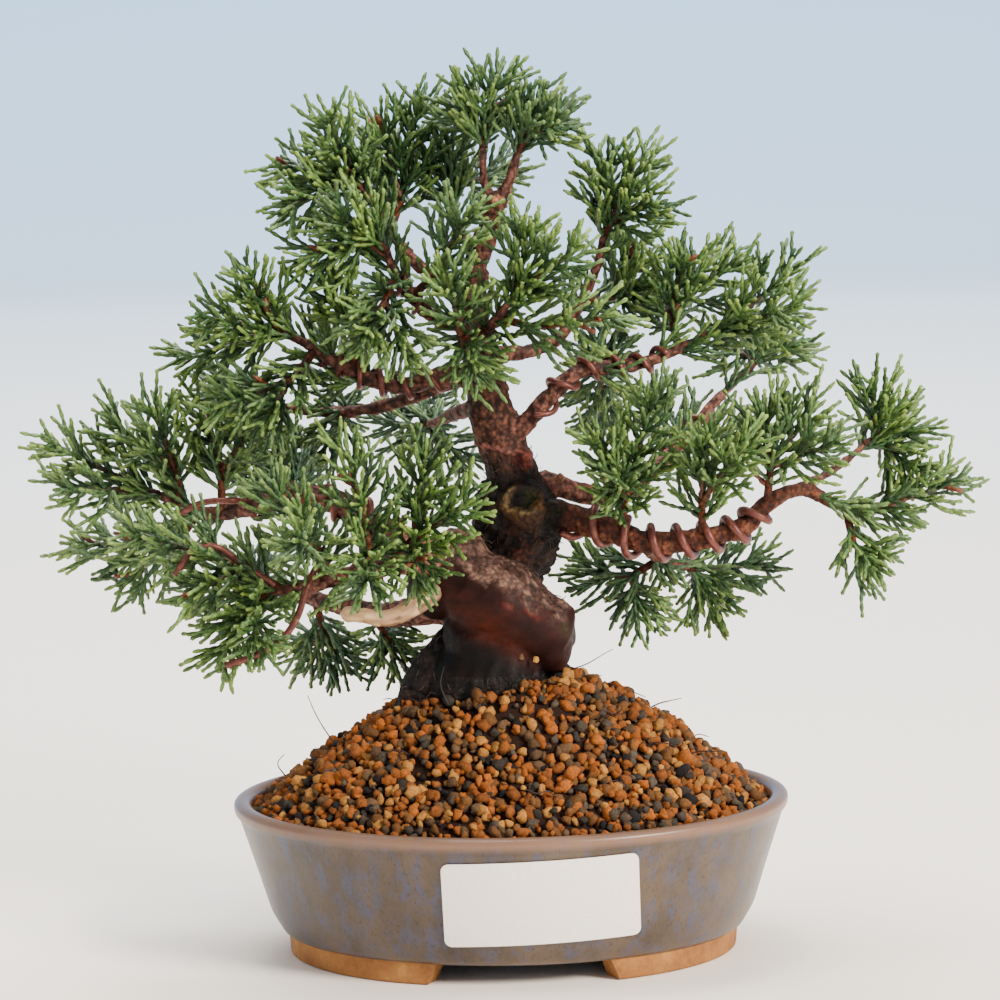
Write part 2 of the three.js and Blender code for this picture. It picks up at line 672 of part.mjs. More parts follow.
function lineTube(start, end, radius, sides) {
  const length = start.distanceTo(end)
  const turn = new Quaternion().setFromUnitVectors(new Vector3(0, 1, 0), end.clone().sub(start).normalize())
  const tube = new CylinderGeometry(radius, radius, length, sides).translate(0, length / 2, 0)
  return tube.applyQuaternion(turn).translate(start.x, start.y, start.z)
}

function makeScar() {
  const from = point(SCAR.from)
  const to = point(SCAR.to)
  const out = to.clone().sub(from).normalize()
  const hollowFrom = to.clone().addScaledVector(out, -SCAR.hollowDepth)
  const hollowTo = to.clone().addScaledVector(out, 2)
  return {
    knob: solid(lineTube(from, to, SCAR.radius, 10)),
    hollow: solid(lineTube(hollowFrom, hollowTo, SCAR.hollowRadius, 9)),
  }
}

function makeTree() {
  const pieces = [trunkFoot(0)]
  for (const limb of Object.values(limbs)) {
    pieces.push(solid(sweptTube(limb.curve, limb.radiusAt, limb.sides, limb.steps)))
  }
  pieces.push(woodTube(DEAD_LIMB, 4))
  for (const spray of sprays.filter(({ twig }) => twig)) {
    pieces.push(solid(lineTube(...spray.twig, TWIG_RADIUS, 3)))
  }
  const { knob, hollow } = makeScar()
  const bud = solid(new SphereGeometry(BUD.radius, 6, 4).translate(...BUD.at))
  return largestBody(joined([...pieces, knob, bud]).subtract(hollow))
}

// A leader's path from the end of its spray's stub to its tip
function leaderCurve(spray, tip) {
  const from = spray.start.clone().addScaledVector(spray.out, STUB_LENGTH)
  const reach = from.distanceTo(tip)
  const aim = tip.clone().sub(from).normalize().lerp(spray.out, LEADER_BEND).normalize()
  return new QuadraticBezierCurve3(from, from.clone().addScaledVector(aim, 0.45 * reach), tip)
}

// A shoot's root, elbow and end
function shootPath(leader, index, count, seed) {
  const along = MathUtils.lerp(SHOOTS_FROM, SHOOTS_TO, (index + 0.5) / count)
  const root = leader.getPointAt(along)
  const forward = leader.getTangentAt(along)
  const side = new Vector3().crossVectors(forward, Math.abs(forward.z) < 0.9 ? UP : EAST)
  side.normalize().applyAxisAngle(forward, index * GOLDEN_ANGLE + 2 * Math.PI * chance(seed))
  const opening = MathUtils.lerp(OPENING_BASE, OPENING_TIP, along)
  const length = MathUtils.lerp(SHOOT_LONG, SHOOT_SHORT, along) * (0.8 + 0.4 * chance(seed + index))
  const out = forward.clone().multiplyScalar(Math.cos(opening)).addScaledVector(side, Math.sin(opening))
  const elbow = root.clone().addScaledVector(out, SHOOT_ELBOW * length)
  const onward = out.clone().addScaledVector(forward, SHOOT_FORWARD).addScaledVector(UP, SHOOT_LIFT)
  onward.normalize()
  const end = elbow.clone().addScaledVector(onward, (1 - SHOOT_ELBOW) * length)
  return { root, elbow, end, out, onward }
}

// A spray is one surface: places, and triangles that each know the stem that they belong to.
// It starts as a short stub. Leaders grow out of the stub's end, and shoots out of the leaders.
function stubSurface(spray) {
  const end = spray.start.clone().addScaledVector(spray.out, STUB_LENGTH)
  const tube = lineTube(spray.start, end, STUB_RADIUS, STUB_SIDES)
  const bare = new BufferGeometry()
  bare.setAttribute('position', tube.getAttribute('position'))
  bare.setIndex(tube.getIndex())
  const merged = mergeVertices(bare, 1e-4)
  const position = merged.getAttribute('position')
  const index = merged.getIndex().array
  const places = Array.from({ length: position.count }, (_, i) => (
    new Vector3().fromBufferAttribute(position, i)
  ))
  const triangles = Array.from({ length: index.length / 3 }, (_, i) => (
    { corners: Array.from(index.slice(3 * i, 3 * i + 3)), stem: 'stub' }
  ))
  return { places, triangles }
}

function centroid(places, corners) {
  return corners.reduce((sum, i) => sum.add(places[i]), new Vector3()).divideScalar(3)
}

function normalOf(places, [a, b, c]) {
  const across = places[b].clone().sub(places[a])
  return across.cross(places[c].clone().sub(places[a])).normalize()
}

// Three places round a centre, turned to follow the three corners that they continue
function addRing(places, corners, { centre, axis, radius }) {
  const middle = centroid(places, corners)
  const east = new Vector3().crossVectors(axis, Math.abs(axis.z) < 0.9 ? UP : EAST).normalize()
  const north = new Vector3().crossVectors(axis, east)
  const turns = corners.map((corner, i) => {
    const across = places[corner].clone().sub(middle)
    return Math.atan2(across.dot(north), across.dot(east)) - i * THIRD_TURN
  })
  const slips = turns.map((turn) => (
    MathUtils.euclideanModulo(turn - turns[0] + Math.PI, 2 * Math.PI) - Math.PI
  ))
  const start = turns[0] + (slips[0] + slips[1] + slips[2]) / 3
  return corners.map((_, i) => {
    const place = centre.clone().addScaledVector(east, radius * Math.cos(start + i * THIRD_TURN))
    return places.push(place.addScaledVector(north, radius * Math.sin(start + i * THIRD_TURN))) - 1
  })
}

// Walls from one triangle through rings to an end, in place of that triangle.
// Returns the end's three triangles.
function grow(surface, triangle, rings, end, stem) {
  const { places, triangles } = surface
  triangles.splice(triangles.indexOf(triangle), 1)
  let { corners } = triangle
  for (const ring of rings) {
    const next = addRing(places, corners, ring)
    for (let i = 0; i < 3; i++) {
      const j = (i + 1) % 3
      triangles.push({ corners: [corners[i], corners[j], next[j]], stem })
      triangles.push({ corners: [corners[i], next[j], next[i]], stem })
    }
    corners = next
  }
  const tip = places.push(end) - 1
  const points = corners.map((corner, i) => ({ corners: [corner, corners[(i + 1) % 3], tip], stem }))
  triangles.push(...points)
  return points
}

// The triangles of a stem that face along out, nearest to a place first
function facingTriangles({ places, triangles }, stem, place, out, least) {
  const facing = triangles.filter((triangle) => (
    triangle.stem === stem && normalOf(places, triangle.corners).dot(out) > least
  ))
  const distance = (triangle) => centroid(places, triangle.corners).distanceTo(place)
  return facing.sort((one, other) => distance(one) - distance(other))
}

// Whether the edge from start to end passes through a triangle
function pierces(start, end, [a, b, c]) {
  const along = end.clone().sub(start)
  const first = b.clone().sub(a)
  const second = c.clone().sub(a)
  const across = new Vector3().crossVectors(along, second)
  const scale = first.dot(across)
  if (Math.abs(scale) < 1e-12) {
    return false
  }
  const offset = start.clone().sub(a)
  const u = offset.dot(across) / scale
  const turned = new Vector3().crossVectors(offset, first)
  const v = along.dot(turned) / scale
  const share = second.dot(turned) / scale
  return u > 0 && v > 0 && u + v < 1 && share > 0 && share < 1
}

// Whether the surface's last triangles cross any of its other triangles
function crossesItself({ places, triangles }, freshCount) {
  const corners = triangles.map((triangle) => triangle.corners)
  const shapes = corners.map((indexes) => indexes.map((i) => places[i]))
  const boxes = shapes.map((shape) => new Box3().setFromPoints(shape))
  const edgesPierce = (i, j) => [0, 1, 2].some((k) => {
    const next = (k + 1) % 3
    const shared = corners[j].includes(corners[i][k]) || corners[j].includes(corners[i][next])
    return !shared && pierces(shapes[i][k], shapes[i][next], shapes[j])
  })
  for (let i = triangles.length - freshCount; i < triangles.length; i++) {
    for (let j = 0; j < i; j++) {
      if (boxes[i].intersectsBox(boxes[j]) && (edgesPierce(i, j) || edgesPierce(j, i))) {
        return true
      }
    }
  }
  return false
}

function leaderBands(leader) {
  return Math.max(3, Math.round(leader.curve.getLength() / BAND_LENGTH))
}

// Each leader takes the stub triangle that leaves room for the next leaders
function growLeaders(surface, [leader, ...rest]) {
  if (!leader) {
    return true
  }
  const bands = leaderBands(leader)
  const rings = Array.from({ length: bands - 1 }, (_, i) => {
    const share = (i + 1) / bands
    const radius = MathUtils.lerp(LEADER_RADIUS, SHOOT_RADIUS, share)
    return { centre: leader.curve.getPointAt(share), axis: leader.curve.getTangentAt(share), radius }
  })
  const { places, triangles } = surface
  for (const root of facingTriangles(surface, 'stub', leader.curve.getPointAt(0.3), leader.spray.out, 0.9)) {
    Object.assign(surface, { places: [...places], triangles: [...triangles] })
    grow(surface, root, rings, leader.tip, leader)
    if (!crossesItself(surface, 6 * rings.length + 3) && growLeaders(surface, rest)) {
      return true
    }
  }
  Object.assign(surface, { places, triangles })
  return false
}

// A shoot has one ring at its elbow, and one side of its point carries a fork
function growShoot(surface, leader, shoot, seed) {
  const side = shoot.root.clone().addScaledVector(shoot.out, 0.8)
  const [root] = facingTriangles(surface, leader, side, shoot.out, 0.3)
  if (!root || centroid(surface.places, root.corners).distanceTo(side) > BAND_LENGTH) {
    return false
  }
  const before = { places: [...surface.places], triangles: [...surface.triangles] }
  const ring = { centre: shoot.elbow, axis: shoot.out, radius: SHOOT_RADIUS }
  const points = grow(surface, root, [ring], shoot.end, shoot)
  const forked = points[Math.floor(3 * chance(seed))]
  const out = normalOf(surface.places, forked.corners).multiplyScalar(0.7).add(shoot.onward).normalize()
  grow(surface, forked, [], centroid(surface.places, forked.corners).addScaledVector(out, FORK_LENGTH), shoot)
  if (crossesItself(surface, SHOOT_TRIANGLES)) {
    Object.assign(surface, before)
    return false
  }
  return true
}

// Training wires
function wireCurve(wireSpec, phase) {
  const { curve, radiusAt } = limbs[wireSpec.limb]
  const steps = Math.round(wireSpec.turns * WIRE_STEPS_PER_TURN)
  const samples = Math.round(steps / (wireSpec.to - wireSpec.from))
  const first = Math.round(wireSpec.from * samples)
  const { normals, binormals } = curve.computeFrenetFrames(samples)
  const places = []
  for (let i = 0; i <= steps; i++) {
    const sample = first + i
    const turn = phase + 2 * Math.PI * i / WIRE_STEPS_PER_TURN
    const clear = radiusAt(sample / samples) + wireSpec.radius + GAP + WIRE_SLACK
    const standOff = clear / Math.cos(Math.PI / WIRE_STEPS_PER_TURN)
    const place = curve.getPointAt(sample / samples)
    place.addScaledVector(normals[sample], standOff * Math.cos(turn))
    place.addScaledVector(binormals[sample], standOff * Math.sin(turn))
    places.push(place)
  }
  places.push(...(wireSpec.tail ?? []).map(point))
  return new CatmullRomCurve3(places, false, 'centripetal')
}

function wireSteps(wireSpec) {
  return Math.round(wireSpec.turns * WIRE_STEPS_PER_TURN) + (wireSpec.tail?.length ?? 0)
}

const twigCapsules = sprays.filter(({ twig }) => twig).map(({ twig: [start, end] }) => (
  { start, end, radius: TWIG_RADIUS }
))

// Each wire starts at the turn that carries it past the twigs and the other limbs
function placeWire(wireSpec) {
  const others = Object.values(limbs).filter((limb) => limb !== limbs[wireSpec.limb]).flatMap((limb) => (
    capsulesAlong(limb.curve, limb.radiusAt, 2 * limb.steps)
  ))
  others.push(...twigCapsules)
  const tries = Array.from({ length: WIRE_TRIES }, (_, i) => {
    const curve = wireCurve(wireSpec, i / WIRE_TRIES * 2 * Math.PI)
    const capsules = capsulesAlong(curve, () => wireSpec.radius, 2 * wireSteps(wireSpec))
    return { curve, capsules, hits: capsules.filter((capsule) => touches(capsule, others, GAP)).length }
  })
  const best = tries.reduce((least, next) => (next.hits < least.hits ? next : least))
  return { ...wireSpec, ...best }
}

const wires = WIRES.map(placeWire)

function makeWire(placed) {
  return solid(sweptTube(placed.curve, () => placed.radius, WIRE_SIDES, wireSteps(placed)))
}

// What a shoot must stay clear of: the wood, the twigs and the wires
const woodCapsules = Object.values(limbs).flatMap((limb) => (
  capsulesAlong(limb.curve, limb.radiusAt, 2 * limb.steps)
))
for (const wood of [TRUNK_BASE, LOG, DEAD_LIMB, ...ROOTS]) {
  woodCapsules.push(...capsulesAlong(curveOf(wood), radiusAlong(wood.radii), 8))
}
const fixedCapsules = [...woodCapsules, ...twigCapsules, ...wires.flatMap(({ capsules }) => capsules)]

// Leaders first, then the shoots that stay clear of everything else
const leaders = sprays.flatMap((spray, sprayIndex) => spray.tips.map((tip, tipIndex) => {
  const curve = leaderCurve(spray, tip)
  const capsules = capsulesAlong(curve, () => LEADER_RADIUS, 6)
  return { spray, tip, curve, capsules, seed: 10 * sprayIndex + tipIndex + 1 }
}))

function shootCapsules(shoot) {
  const free = shoot.root.clone().lerp(shoot.elbow, 0.35)
  return [
    { start: free, end: shoot.elbow, radius: SHOOT_RADIUS },
    { start: shoot.elbow, end: shoot.end, radius: SHOOT_RADIUS },
  ]
}

const surfaces = new Map(sprays.map((spray) => [spray, stubSurface(spray)]))
for (const spray of sprays) {
  if (!growLeaders(surfaces.get(spray), leaders.filter((leader) => leader.spray === spray))) {
    throw new Error(`The leaders of ${spray.name} cross each other`)
  }
}
const grown = []
for (const leader of leaders) {
  const otherLeaders = leaders.filter((other) => other !== leader)
  const others = [...fixedCapsules, ...otherLeaders.flatMap(({ capsules }) => capsules)]
  const outerOthers = [...others, ...leader.capsules]
  const shootCount = SHOOTS_PER_BAND * leaderBands(leader)
  for (let index = 0; index < shootCount; index++) {
    const shoot = shootPath(leader.curve, index, shootCount, leader.seed)
    const [inner, outer] = shootCapsules(shoot)
    const blocked = touches(inner, others, SHOOT_GAP) || touches(outer, outerOthers, SHOOT_GAP)
    const crowded = touches(inner, grown, SHOOT_GAP) || touches(outer, grown, SHOOT_GAP)
    const seed = leader.seed + 0.5 * index
    if (!blocked && !crowded && growShoot(surfaces.get(leader.spray), leader, shoot, seed)) {
      grown.push(inner, outer)
    }
  }
}

function makeSpray(spray) {
  const { places, triangles } = surfaces.get(spray)
  const geometry = new BufferGeometry().setFromPoints(places)
  geometry.setIndex(triangles.flatMap(({ corners }) => corners))
  return geometry
}

const model = new Group()
model.name = 'itoigawa_juniper_bonsai'

function addNode(name, manifold, material) {
  const mesh = new Mesh(geometryOf(manifold), material)
  mesh.name = name
  model.add(mesh)
}

addNode('pot', makePot(), glaze)
addNode('label', makeLabel(), paper)
addNode('drain_mesh_left', makeDrainMesh(-1), meshPlastic)
addNode('drain_mesh_right', makeDrainMesh(1), meshPlastic)
addNode('soil', makeSoil(), granules)
addNode('tree', makeTree(), bark)
for (const placed of wires) {
  addNode(placed.name, makeWire(placed), wire)
}
for (const spray of sprays) {
  const mesh = new Mesh(makeSpray(spray), foliage)
  mesh.name = `spray_${spray.name}`
  model.add(mesh)
}

export default model
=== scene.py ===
"""A small itoigawa juniper bonsai in its glazed pot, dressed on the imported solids.

Lengths in this script are millimetres until a mesh is made, where they become metres.
"""

import math

import bpy
import numpy as np
from mathutils import Matrix, Vector, noise


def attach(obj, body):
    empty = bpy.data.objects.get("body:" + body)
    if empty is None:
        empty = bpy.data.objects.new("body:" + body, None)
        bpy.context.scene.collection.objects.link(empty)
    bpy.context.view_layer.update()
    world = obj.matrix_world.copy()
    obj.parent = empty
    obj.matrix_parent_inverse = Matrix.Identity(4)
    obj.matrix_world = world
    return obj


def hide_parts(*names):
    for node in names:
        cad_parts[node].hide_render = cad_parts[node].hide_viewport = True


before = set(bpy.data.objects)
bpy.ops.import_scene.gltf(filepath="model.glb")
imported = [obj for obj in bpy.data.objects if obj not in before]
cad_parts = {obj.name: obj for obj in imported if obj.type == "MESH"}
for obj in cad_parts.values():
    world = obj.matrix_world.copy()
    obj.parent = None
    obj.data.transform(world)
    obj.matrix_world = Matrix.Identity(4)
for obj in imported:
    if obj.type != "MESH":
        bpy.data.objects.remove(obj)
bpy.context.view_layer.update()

MM = 0.001
GAP = 0.3
POT_HEIGHT = 42.5
UP = np.array([0.0, 0.0, 1.0])
EAST = np.array([1.0, 0.0, 0.0])
GOLDEN_ANGLE = math.pi * (3 - math.sqrt(5))


# Colours are written as sRGB hex and used as linear values
def colour(text):
    channels = [int(text[i:i + 2], 16) / 255 for i in (0, 2, 4)]
    return np.array([c / 12.92 if c <= 0.04045 else ((c + 0.055) / 1.055) ** 2.4 for c in channels])


def tone_of(value):
    return colour(value) if isinstance(value, str) else np.asarray(value, float)


def unit(vector):
    return vector / np.linalg.norm(vector)


def chance(seed):
    wave = math.sin(seed * 12.9898) * 43758.5453
    return wave - math.floor(wave)


def mix(low, high, share):
    return low + (high - low) * share


def turned(vector, axis, angle):
    """The vector rotated about a unit axis."""
    cos, sin = math.cos(angle), math.sin(angle)
    return vector * cos + np.cross(axis, vector) * sin + axis * np.dot(axis, vector) * (1 - cos)


def unit_rows(rows):
    return rows / np.linalg.norm(rows, axis=1)[:, None]


def circle(count):
    """Evenly spaced angles once round."""
    return 2 * math.pi * np.arange(count) / count


def linked(name, data):
    """A new object in the scene."""
    made = bpy.data.objects.new(name, data)
    bpy.context.collection.objects.link(made)
    return made


# Camera: where the photograph was taken from. Its focal length is a multiple of the picture's width.
CAMERA_PLACE = (-1.43, -1000.0, 248.74)
CAMERA_PITCH = 0.126
CAMERA_ROLL = 0.019
FOCAL_RATIO = 3.7616
SENSOR_WIDTH = 36

camera_data = bpy.data.cameras.new("camera")
camera_data.sensor_width = SENSOR_WIDTH
camera_data.lens = FOCAL_RATIO * SENSOR_WIDTH
camera_data.clip_start = 0.05
camera_data.clip_end = 20
camera = linked("camera", camera_data)
camera.matrix_world = (
    Matrix.Translation(Vector(CAMERA_PLACE) * MM)
    @ Matrix.Rotation(math.pi / 2 - CAMERA_PITCH, 4, "X")
    @ Matrix.Rotation(-CAMERA_ROLL, 4, "Z")
)
bpy.context.scene.camera = camera


# Smooth curves through points, sampled finely and read by their share of the length
class Path:
    SAMPLES = 40

    def __init__(self, points):
        points = np.array(points, float)
        ends = [2 * points[0] - points[1], *points, 2 * points[-1] - points[-2]]
        places = []
        for p0, p1, p2, p3 in zip(ends, ends[1:], ends[2:], ends[3:]):
            gaps = [math.sqrt(np.linalg.norm(b - a)) for a, b in ((p0, p1), (p1, p2), (p2, p3))]
            leave = (p1 - p0) / gaps[0] - (p2 - p0) / (gaps[0] + gaps[1]) + (p2 - p1) / gaps[1]
            arrive = (p2 - p1) / gaps[1] - (p3 - p1) / (gaps[1] + gaps[2]) + (p3 - p2) / gaps[2]
            leave *= gaps[1]
            arrive *= gaps[1]
            t = np.linspace(0, 1, self.SAMPLES, endpoint=False)[:, None]
            cubic = 2 * p1 - 2 * p2 + leave + arrive
            square = -3 * p1 + 3 * p2 - 2 * leave - arrive
            places.append(p1 + leave * t + square * t ** 2 + cubic * t ** 3)
        self.places = np.vstack([*places, points[-1:]])
        steps = np.linalg.norm(np.diff(self.places, axis=0), axis=1)
        self.reached = np.concatenate([[0], np.cumsum(steps)])
        self.length = self.reached[-1]

    def at(self, share):
        wanted = np.clip(share, 0, 1) * self.length
        return np.array([np.interp(wanted, self.reached, self.places[:, axis]) for axis in range(3)]).T

    def spaced(self, count):
        return self.at(np.linspace(0, 1, count))

    def tangent(self, share):
        low, high = max(share - 0.002, 0), min(share + 0.002, 1)
        return unit(self.at(high) - self.at(low))


def bend(start, through, end, count):
    """A quadratic curve from start to end, as points."""
    t = np.linspace(0, 1, count)[:, None]
    return (1 - t) ** 2 * start + 2 * t * (1 - t) * through + t ** 2 * end


def frames(tangents):
    """Two directions across each tangent that don't twist along the line."""
    first = tangents[0]
    start = np.eye(3)[np.argmin(np.abs(first))]
    normal = np.cross(first, unit(np.cross(first, start)))
    normals = [normal]
    for before, after in zip(tangents, tangents[1:]):
        axis = np.cross(before, after)
        size = np.linalg.norm(axis)
        if size > 1e-7:
            normal = turned(normal, axis / size, math.acos(np.clip(np.dot(before, after), -1, 1)))
        normals.append(normal)
    normals = np.array(normals)
    return normals, np.cross(tangents, normals)


def ring_faces(rings, count, flip=False, caps=(True, True)):
    """Quads between closed rings of points, and a flat cap on each end that has one."""
    faces = []
    for low in range(0, (rings - 1) * count, count):
        for side in range(count):
            after = (side + 1) % count
            faces.append([low + side, low + after, low + count + after, low + count + side])
    if caps[0]:
        faces.append(list(range(count))[::-1])
    if caps[1]:
        faces.append([(rings - 1) * count + side for side in range(count)])
    return [[face[0], *face[:0:-1]] for face in faces] if flip else faces


# Painted colours are deepened a little, the dark ones most
PAINT_STRENGTH = 0.92
PAINT_DEPTH = 1.25


# Meshes are gathered as lists of points and faces, with a colour for each point
class Gather:
    def __init__(self):
        self.points, self.faces, self.paints = [], [], []
        self.count = 0

    def add(self, points, faces, paint):
        points = np.asarray(points, float)
        self.points.append(points)
        self.paints.append(np.broadcast_to(tone_of(paint), (len(points), 3)))
        self.faces.extend([[i + self.count for i in face] for face in faces])
        self.count += len(points)

    def tube(self, line, radii, sides, paint, tipped=True, stagger=False):
        """A round tube along a line of points. A tipped tube is closed by a point just past each end."""
        line = np.asarray(line, float)
        tangents = unit_rows(np.gradient(line, axis=0))
        normals, binormals = frames(tangents)
        shift = (np.arange(len(line)) % 2) * math.pi / sides * stagger
        angles = (circle(sides)[None, :] + shift[:, None])[..., None]
        across = np.cos(angles) * normals[:, None] + np.sin(angles) * binormals[:, None]
        rings = line[:, None] + across * np.asarray(radii, float)[:, None, None]
        start = line[0] - tangents[0] * radii[0] * 0.6 * tipped
        end = line[-1] + tangents[-1] * radii[-1] * 0.8 * tipped
        points = np.vstack([rings.reshape(-1, 3), start, end])
        faces = ring_faces(len(line), sides, caps=(False, False))
        first, top = len(points) - 2, (len(line) - 1) * sides
        for side in range(sides):
            after = (side + 1) % sides
            faces.append([after, side, first])
            faces.append([top + side, top + after, first + 1])
        paint = tone_of(paint)
        if paint.ndim == 2:
            paint = np.vstack([np.repeat(paint, sides, axis=0), paint[0], paint[-1]])
        self.add(points, faces, paint)

    def object(self, name, *materials):
        mesh = bpy.data.meshes.new(name)
        mesh.from_pydata((np.vstack(self.points) * MM).tolist(), [], self.faces)
        for material in materials:
            mesh.materials.append(material)
        mesh.polygons.foreach_set("use_smooth", [True] * len(mesh.polygons))
        paint = PAINT_STRENGTH * np.clip(np.vstack(self.paints), 0, 1) ** PAINT_DEPTH
        layer = mesh.color_attributes.new("paint", "FLOAT_COLOR", "POINT")
        layer.data.foreach_set("color", np.hstack([paint, np.ones((len(paint), 1))]).ravel())
        mesh.update()
        piece = linked(name, mesh)
        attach(piece, "root")
        return piece


# Materials: textures lie in the object's own coordinates, with scales in features per metre
class Look:
    def __init__(self, name, **values):
        self.material = bpy.data.materials.new(name)
        self.material.use_nodes = True
        self.tree = self.material.node_tree
        self.shader = self.tree.nodes["Principled BSDF"]
        for socket, value in values.items():
            self.shader.inputs[socket.replace("_", " ")].default_value = value

    def feed(self, socket, value):
        """A node's output is linked to the socket, and any other value is set on it."""
        if isinstance(value, bpy.types.NodeSocket):
            self.tree.links.new(value, socket)
        else:
            socket.default_value = value

    def node(self, kind, **values):
        made = self.tree.nodes.new(kind)
        for name, value in values.items():
            self.feed(made.inputs[name.replace("_", " ")], value)
        return made

    def place(self):
        return self.node("ShaderNodeTexCoord").outputs["Object"]

    def noise(self, scale, detail=4.0, roughness=0.6, stretch=(1, 1, 1), distortion=0.0):
        place = self.node("ShaderNodeMapping", Vector=self.place(), Scale=stretch).outputs["Vector"]
        values = {"Scale": scale, "Detail": detail, "Roughness": roughness, "Distortion": distortion}
        return self.node("ShaderNodeTexNoise", Vector=place, **values).outputs["Fac"]

    def cells(self, scale):
        return self.node("ShaderNodeTexVoronoi", Vector=self.place(), Scale=scale).outputs["Distance"]

    def ramp(self, factor, *stops):
        """A colour ramp. Stops are pairs of a position and a hex colour or a grey level."""
        made = self.node("ShaderNodeValToRGB", Fac=factor)
        elements = made.color_ramp.elements
        while len(elements) < len(stops):
            elements.new(0.5)
        for element, (position, value) in zip(elements, stops):
            element.position = position
            element.color = (*colour(value), 1) if isinstance(value, str) else (value, value, value, 1)
        return made.outputs["Color"]

    def mixed(self, factor, first, second, blend="MIX"):
        made = self.node("ShaderNodeMix")
        made.data_type = "RGBA"
        made.blend_type = blend
        for number, value in ((0, factor), (6, first), (7, second)):
            self.feed(made.inputs[number], (*colour(value), 1) if isinstance(value, str) else value)
        return made.outputs[2]

    def product(self, base, *layers):
        for layer in layers:
            base = self.mixed(1.0, base, layer, "MULTIPLY")
        return base

    def painted(self, *layers):
        """The mesh's own colours, multiplied by the layers."""
        made = self.node("ShaderNodeVertexColor")
        made.layer_name = "paint"
        return self.product(made.outputs["Color"], *layers)

    def finish(self, base, height, strength, distance):
        """The material, with its colour and with a bump whose distance is in metres."""
        bump = self.node("ShaderNodeBump", Height=height, Strength=strength, Distance=distance)
        self.feed(self.shader.inputs["Base Color"], base)
        self.feed(self.shader.inputs["Normal"], bump.outputs["Normal"])
        return self.material


def foliage_material():
    """Small pressed scales: cells with dark rims and pale, slightly waxy middles."""
    look = Look("scaly_shoots", Roughness=0.55)
    cells = look.cells(1000)
    shade = look.ramp(cells, (0.1, 1.1), (0.45, 0.9), (0.75, 0.6))
    wax = look.ramp(cells, (0.0, 0.16), (0.35, 0.0))
    waxy = look.mixed(wax, look.painted(shade), "a9bfa2")
    tone = look.ramp(look.noise(500, detail=3), (0.3, 0.7), (0.7, 1.2))
    return look.finish(look.product(waxy, tone), shade, 0.5, 0.0003)


def bark_material():
    """Small plates of bark with dark crevices between them."""
    look = Look("bark", Roughness=0.75, Specular_IOR_Level=0.25)
    coarse = look.noise(420, detail=6, roughness=0.65)
    shade = look.ramp(coarse, (0.3, 0.55), (0.5, 0.95), (0.72, 1.45))
    crevice = look.ramp(look.cells(800), (0.25, 1.15), (0.5, 0.9), (0.75, 0.4))
    grain = look.ramp(look.noise(1600, detail=3), (0.3, 0.75), (0.7, 1.15))
    look.feed(look.shader.inputs["Roughness"], look.ramp(coarse, (0.3, 0.55), (0.7, 0.9)))
    base = look.painted(shade, crevice, grain)
    return look.finish(base, look.mixed(0.6, coarse, crevice), 0.8, 0.0007)


def polished_material():
    look = Look("bare_trunk", Roughness=0.6, Specular_IOR_Level=0.14)
    streaks = look.noise(190, detail=6, roughness=0.65, stretch=(0.7, 1, 1.6), distortion=0.6)
    fine = look.noise(900, detail=5)
    shade = look.ramp(streaks, (0.3, 0.5), (0.5, 0.9), (0.7, 1.4))
    look.feed(look.shader.inputs["Roughness"], look.ramp(fine, (0.3, 0.5), (0.7, 0.75)))
    return look.finish(look.painted(shade), fine, 0.35, 0.0004)


def jin_material():
    look = Look("dead_wood", Roughness=0.65)
    grain = look.noise(500, detail=5, stretch=(0.25, 1, 1))
    shade = look.ramp(grain, (0.3, 0.7), (0.7, 1.15))
    return look.finish(look.painted(shade), grain, 0.4, 0.0004)


def granule_material():
    look = Look("clay_granules", Roughness=0.92, Specular_IOR_Level=0.25)
    pores = look.noise(1400, detail=5, roughness=0.7)
    shade = look.ramp(pores, (0.3, 0.5), (0.5, 0.95), (0.7, 1.3))
    return look.finish(look.painted(shade), pores, 0.7, 0.0005)


def wire_material():
    look = Look("copper_brown_wire", Roughness=0.45, Metallic=0.45)
    scuffs = look.noise(700)
    base = look.ramp(scuffs, (0.3, "47231c"), (0.55, "66362d"), (0.75, "875044"))
    return look.finish(base, scuffs, 0.15, 0.0002)


def glaze_material():
    """Brown glaze with blue runs and dark specks, and with a warmer lip and lower edge."""
    coat = {"Coat_Weight": 0.15, "Coat_Roughness": 0.25}
    look = Look("mottled_glaze", Roughness=0.38, Specular_IOR_Level=0.35, **coat)
    clouds = look.noise(45, stretch=(1, 1, 0.6))
    runs = look.noise(260, detail=7, roughness=0.72, stretch=(1, 1, 0.35), distortion=0.4)
    specks = look.noise(1100, detail=5, roughness=0.7, stretch=(1, 1, 0.6))
    ground = look.ramp(clouds, (0.35, "3a3028"), (0.5, "4c3f33"), (0.68, "61513f"))
    flecked = look.mixed(look.ramp(runs, (0.47, 0.0), (0.62, 0.65)), ground, "3c445f")
    speckled = look.mixed(look.ramp(specks, (0.53, 0.0), (0.68, 0.65)), flecked, "2a2019")
    height = look.node("ShaderNodeSeparateXYZ", Vector=look.place()).outputs["Z"]
    rise = look.node("ShaderNodeMapRange", Value=height, From_Min=0.0, From_Max=POT_HEIGHT * MM)
    lip = look.ramp(rise.outputs["Result"], (0.0, 0.35), (0.2, 0.0), (0.9, 0.0), (0.955, 0.8), (1.0, 0.55))
    return look.finish(look.mixed(lip, speckled, "7e5c47"), runs, 0.12, 0.0004)


def clay_material():
    look = Look("bare_clay", Roughness=0.85)
    grains = look.noise(900, detail=5)
    base = look.ramp(look.noise(80, detail=3), (0.3, "76471f"), (0.6, "a06b33"), (0.75, "c08b48"))
    return look.finish(look.product(base, look.ramp(grains, (0.3, 0.8), (0.7, 1.1))), grains, 0.4, 0.0004)


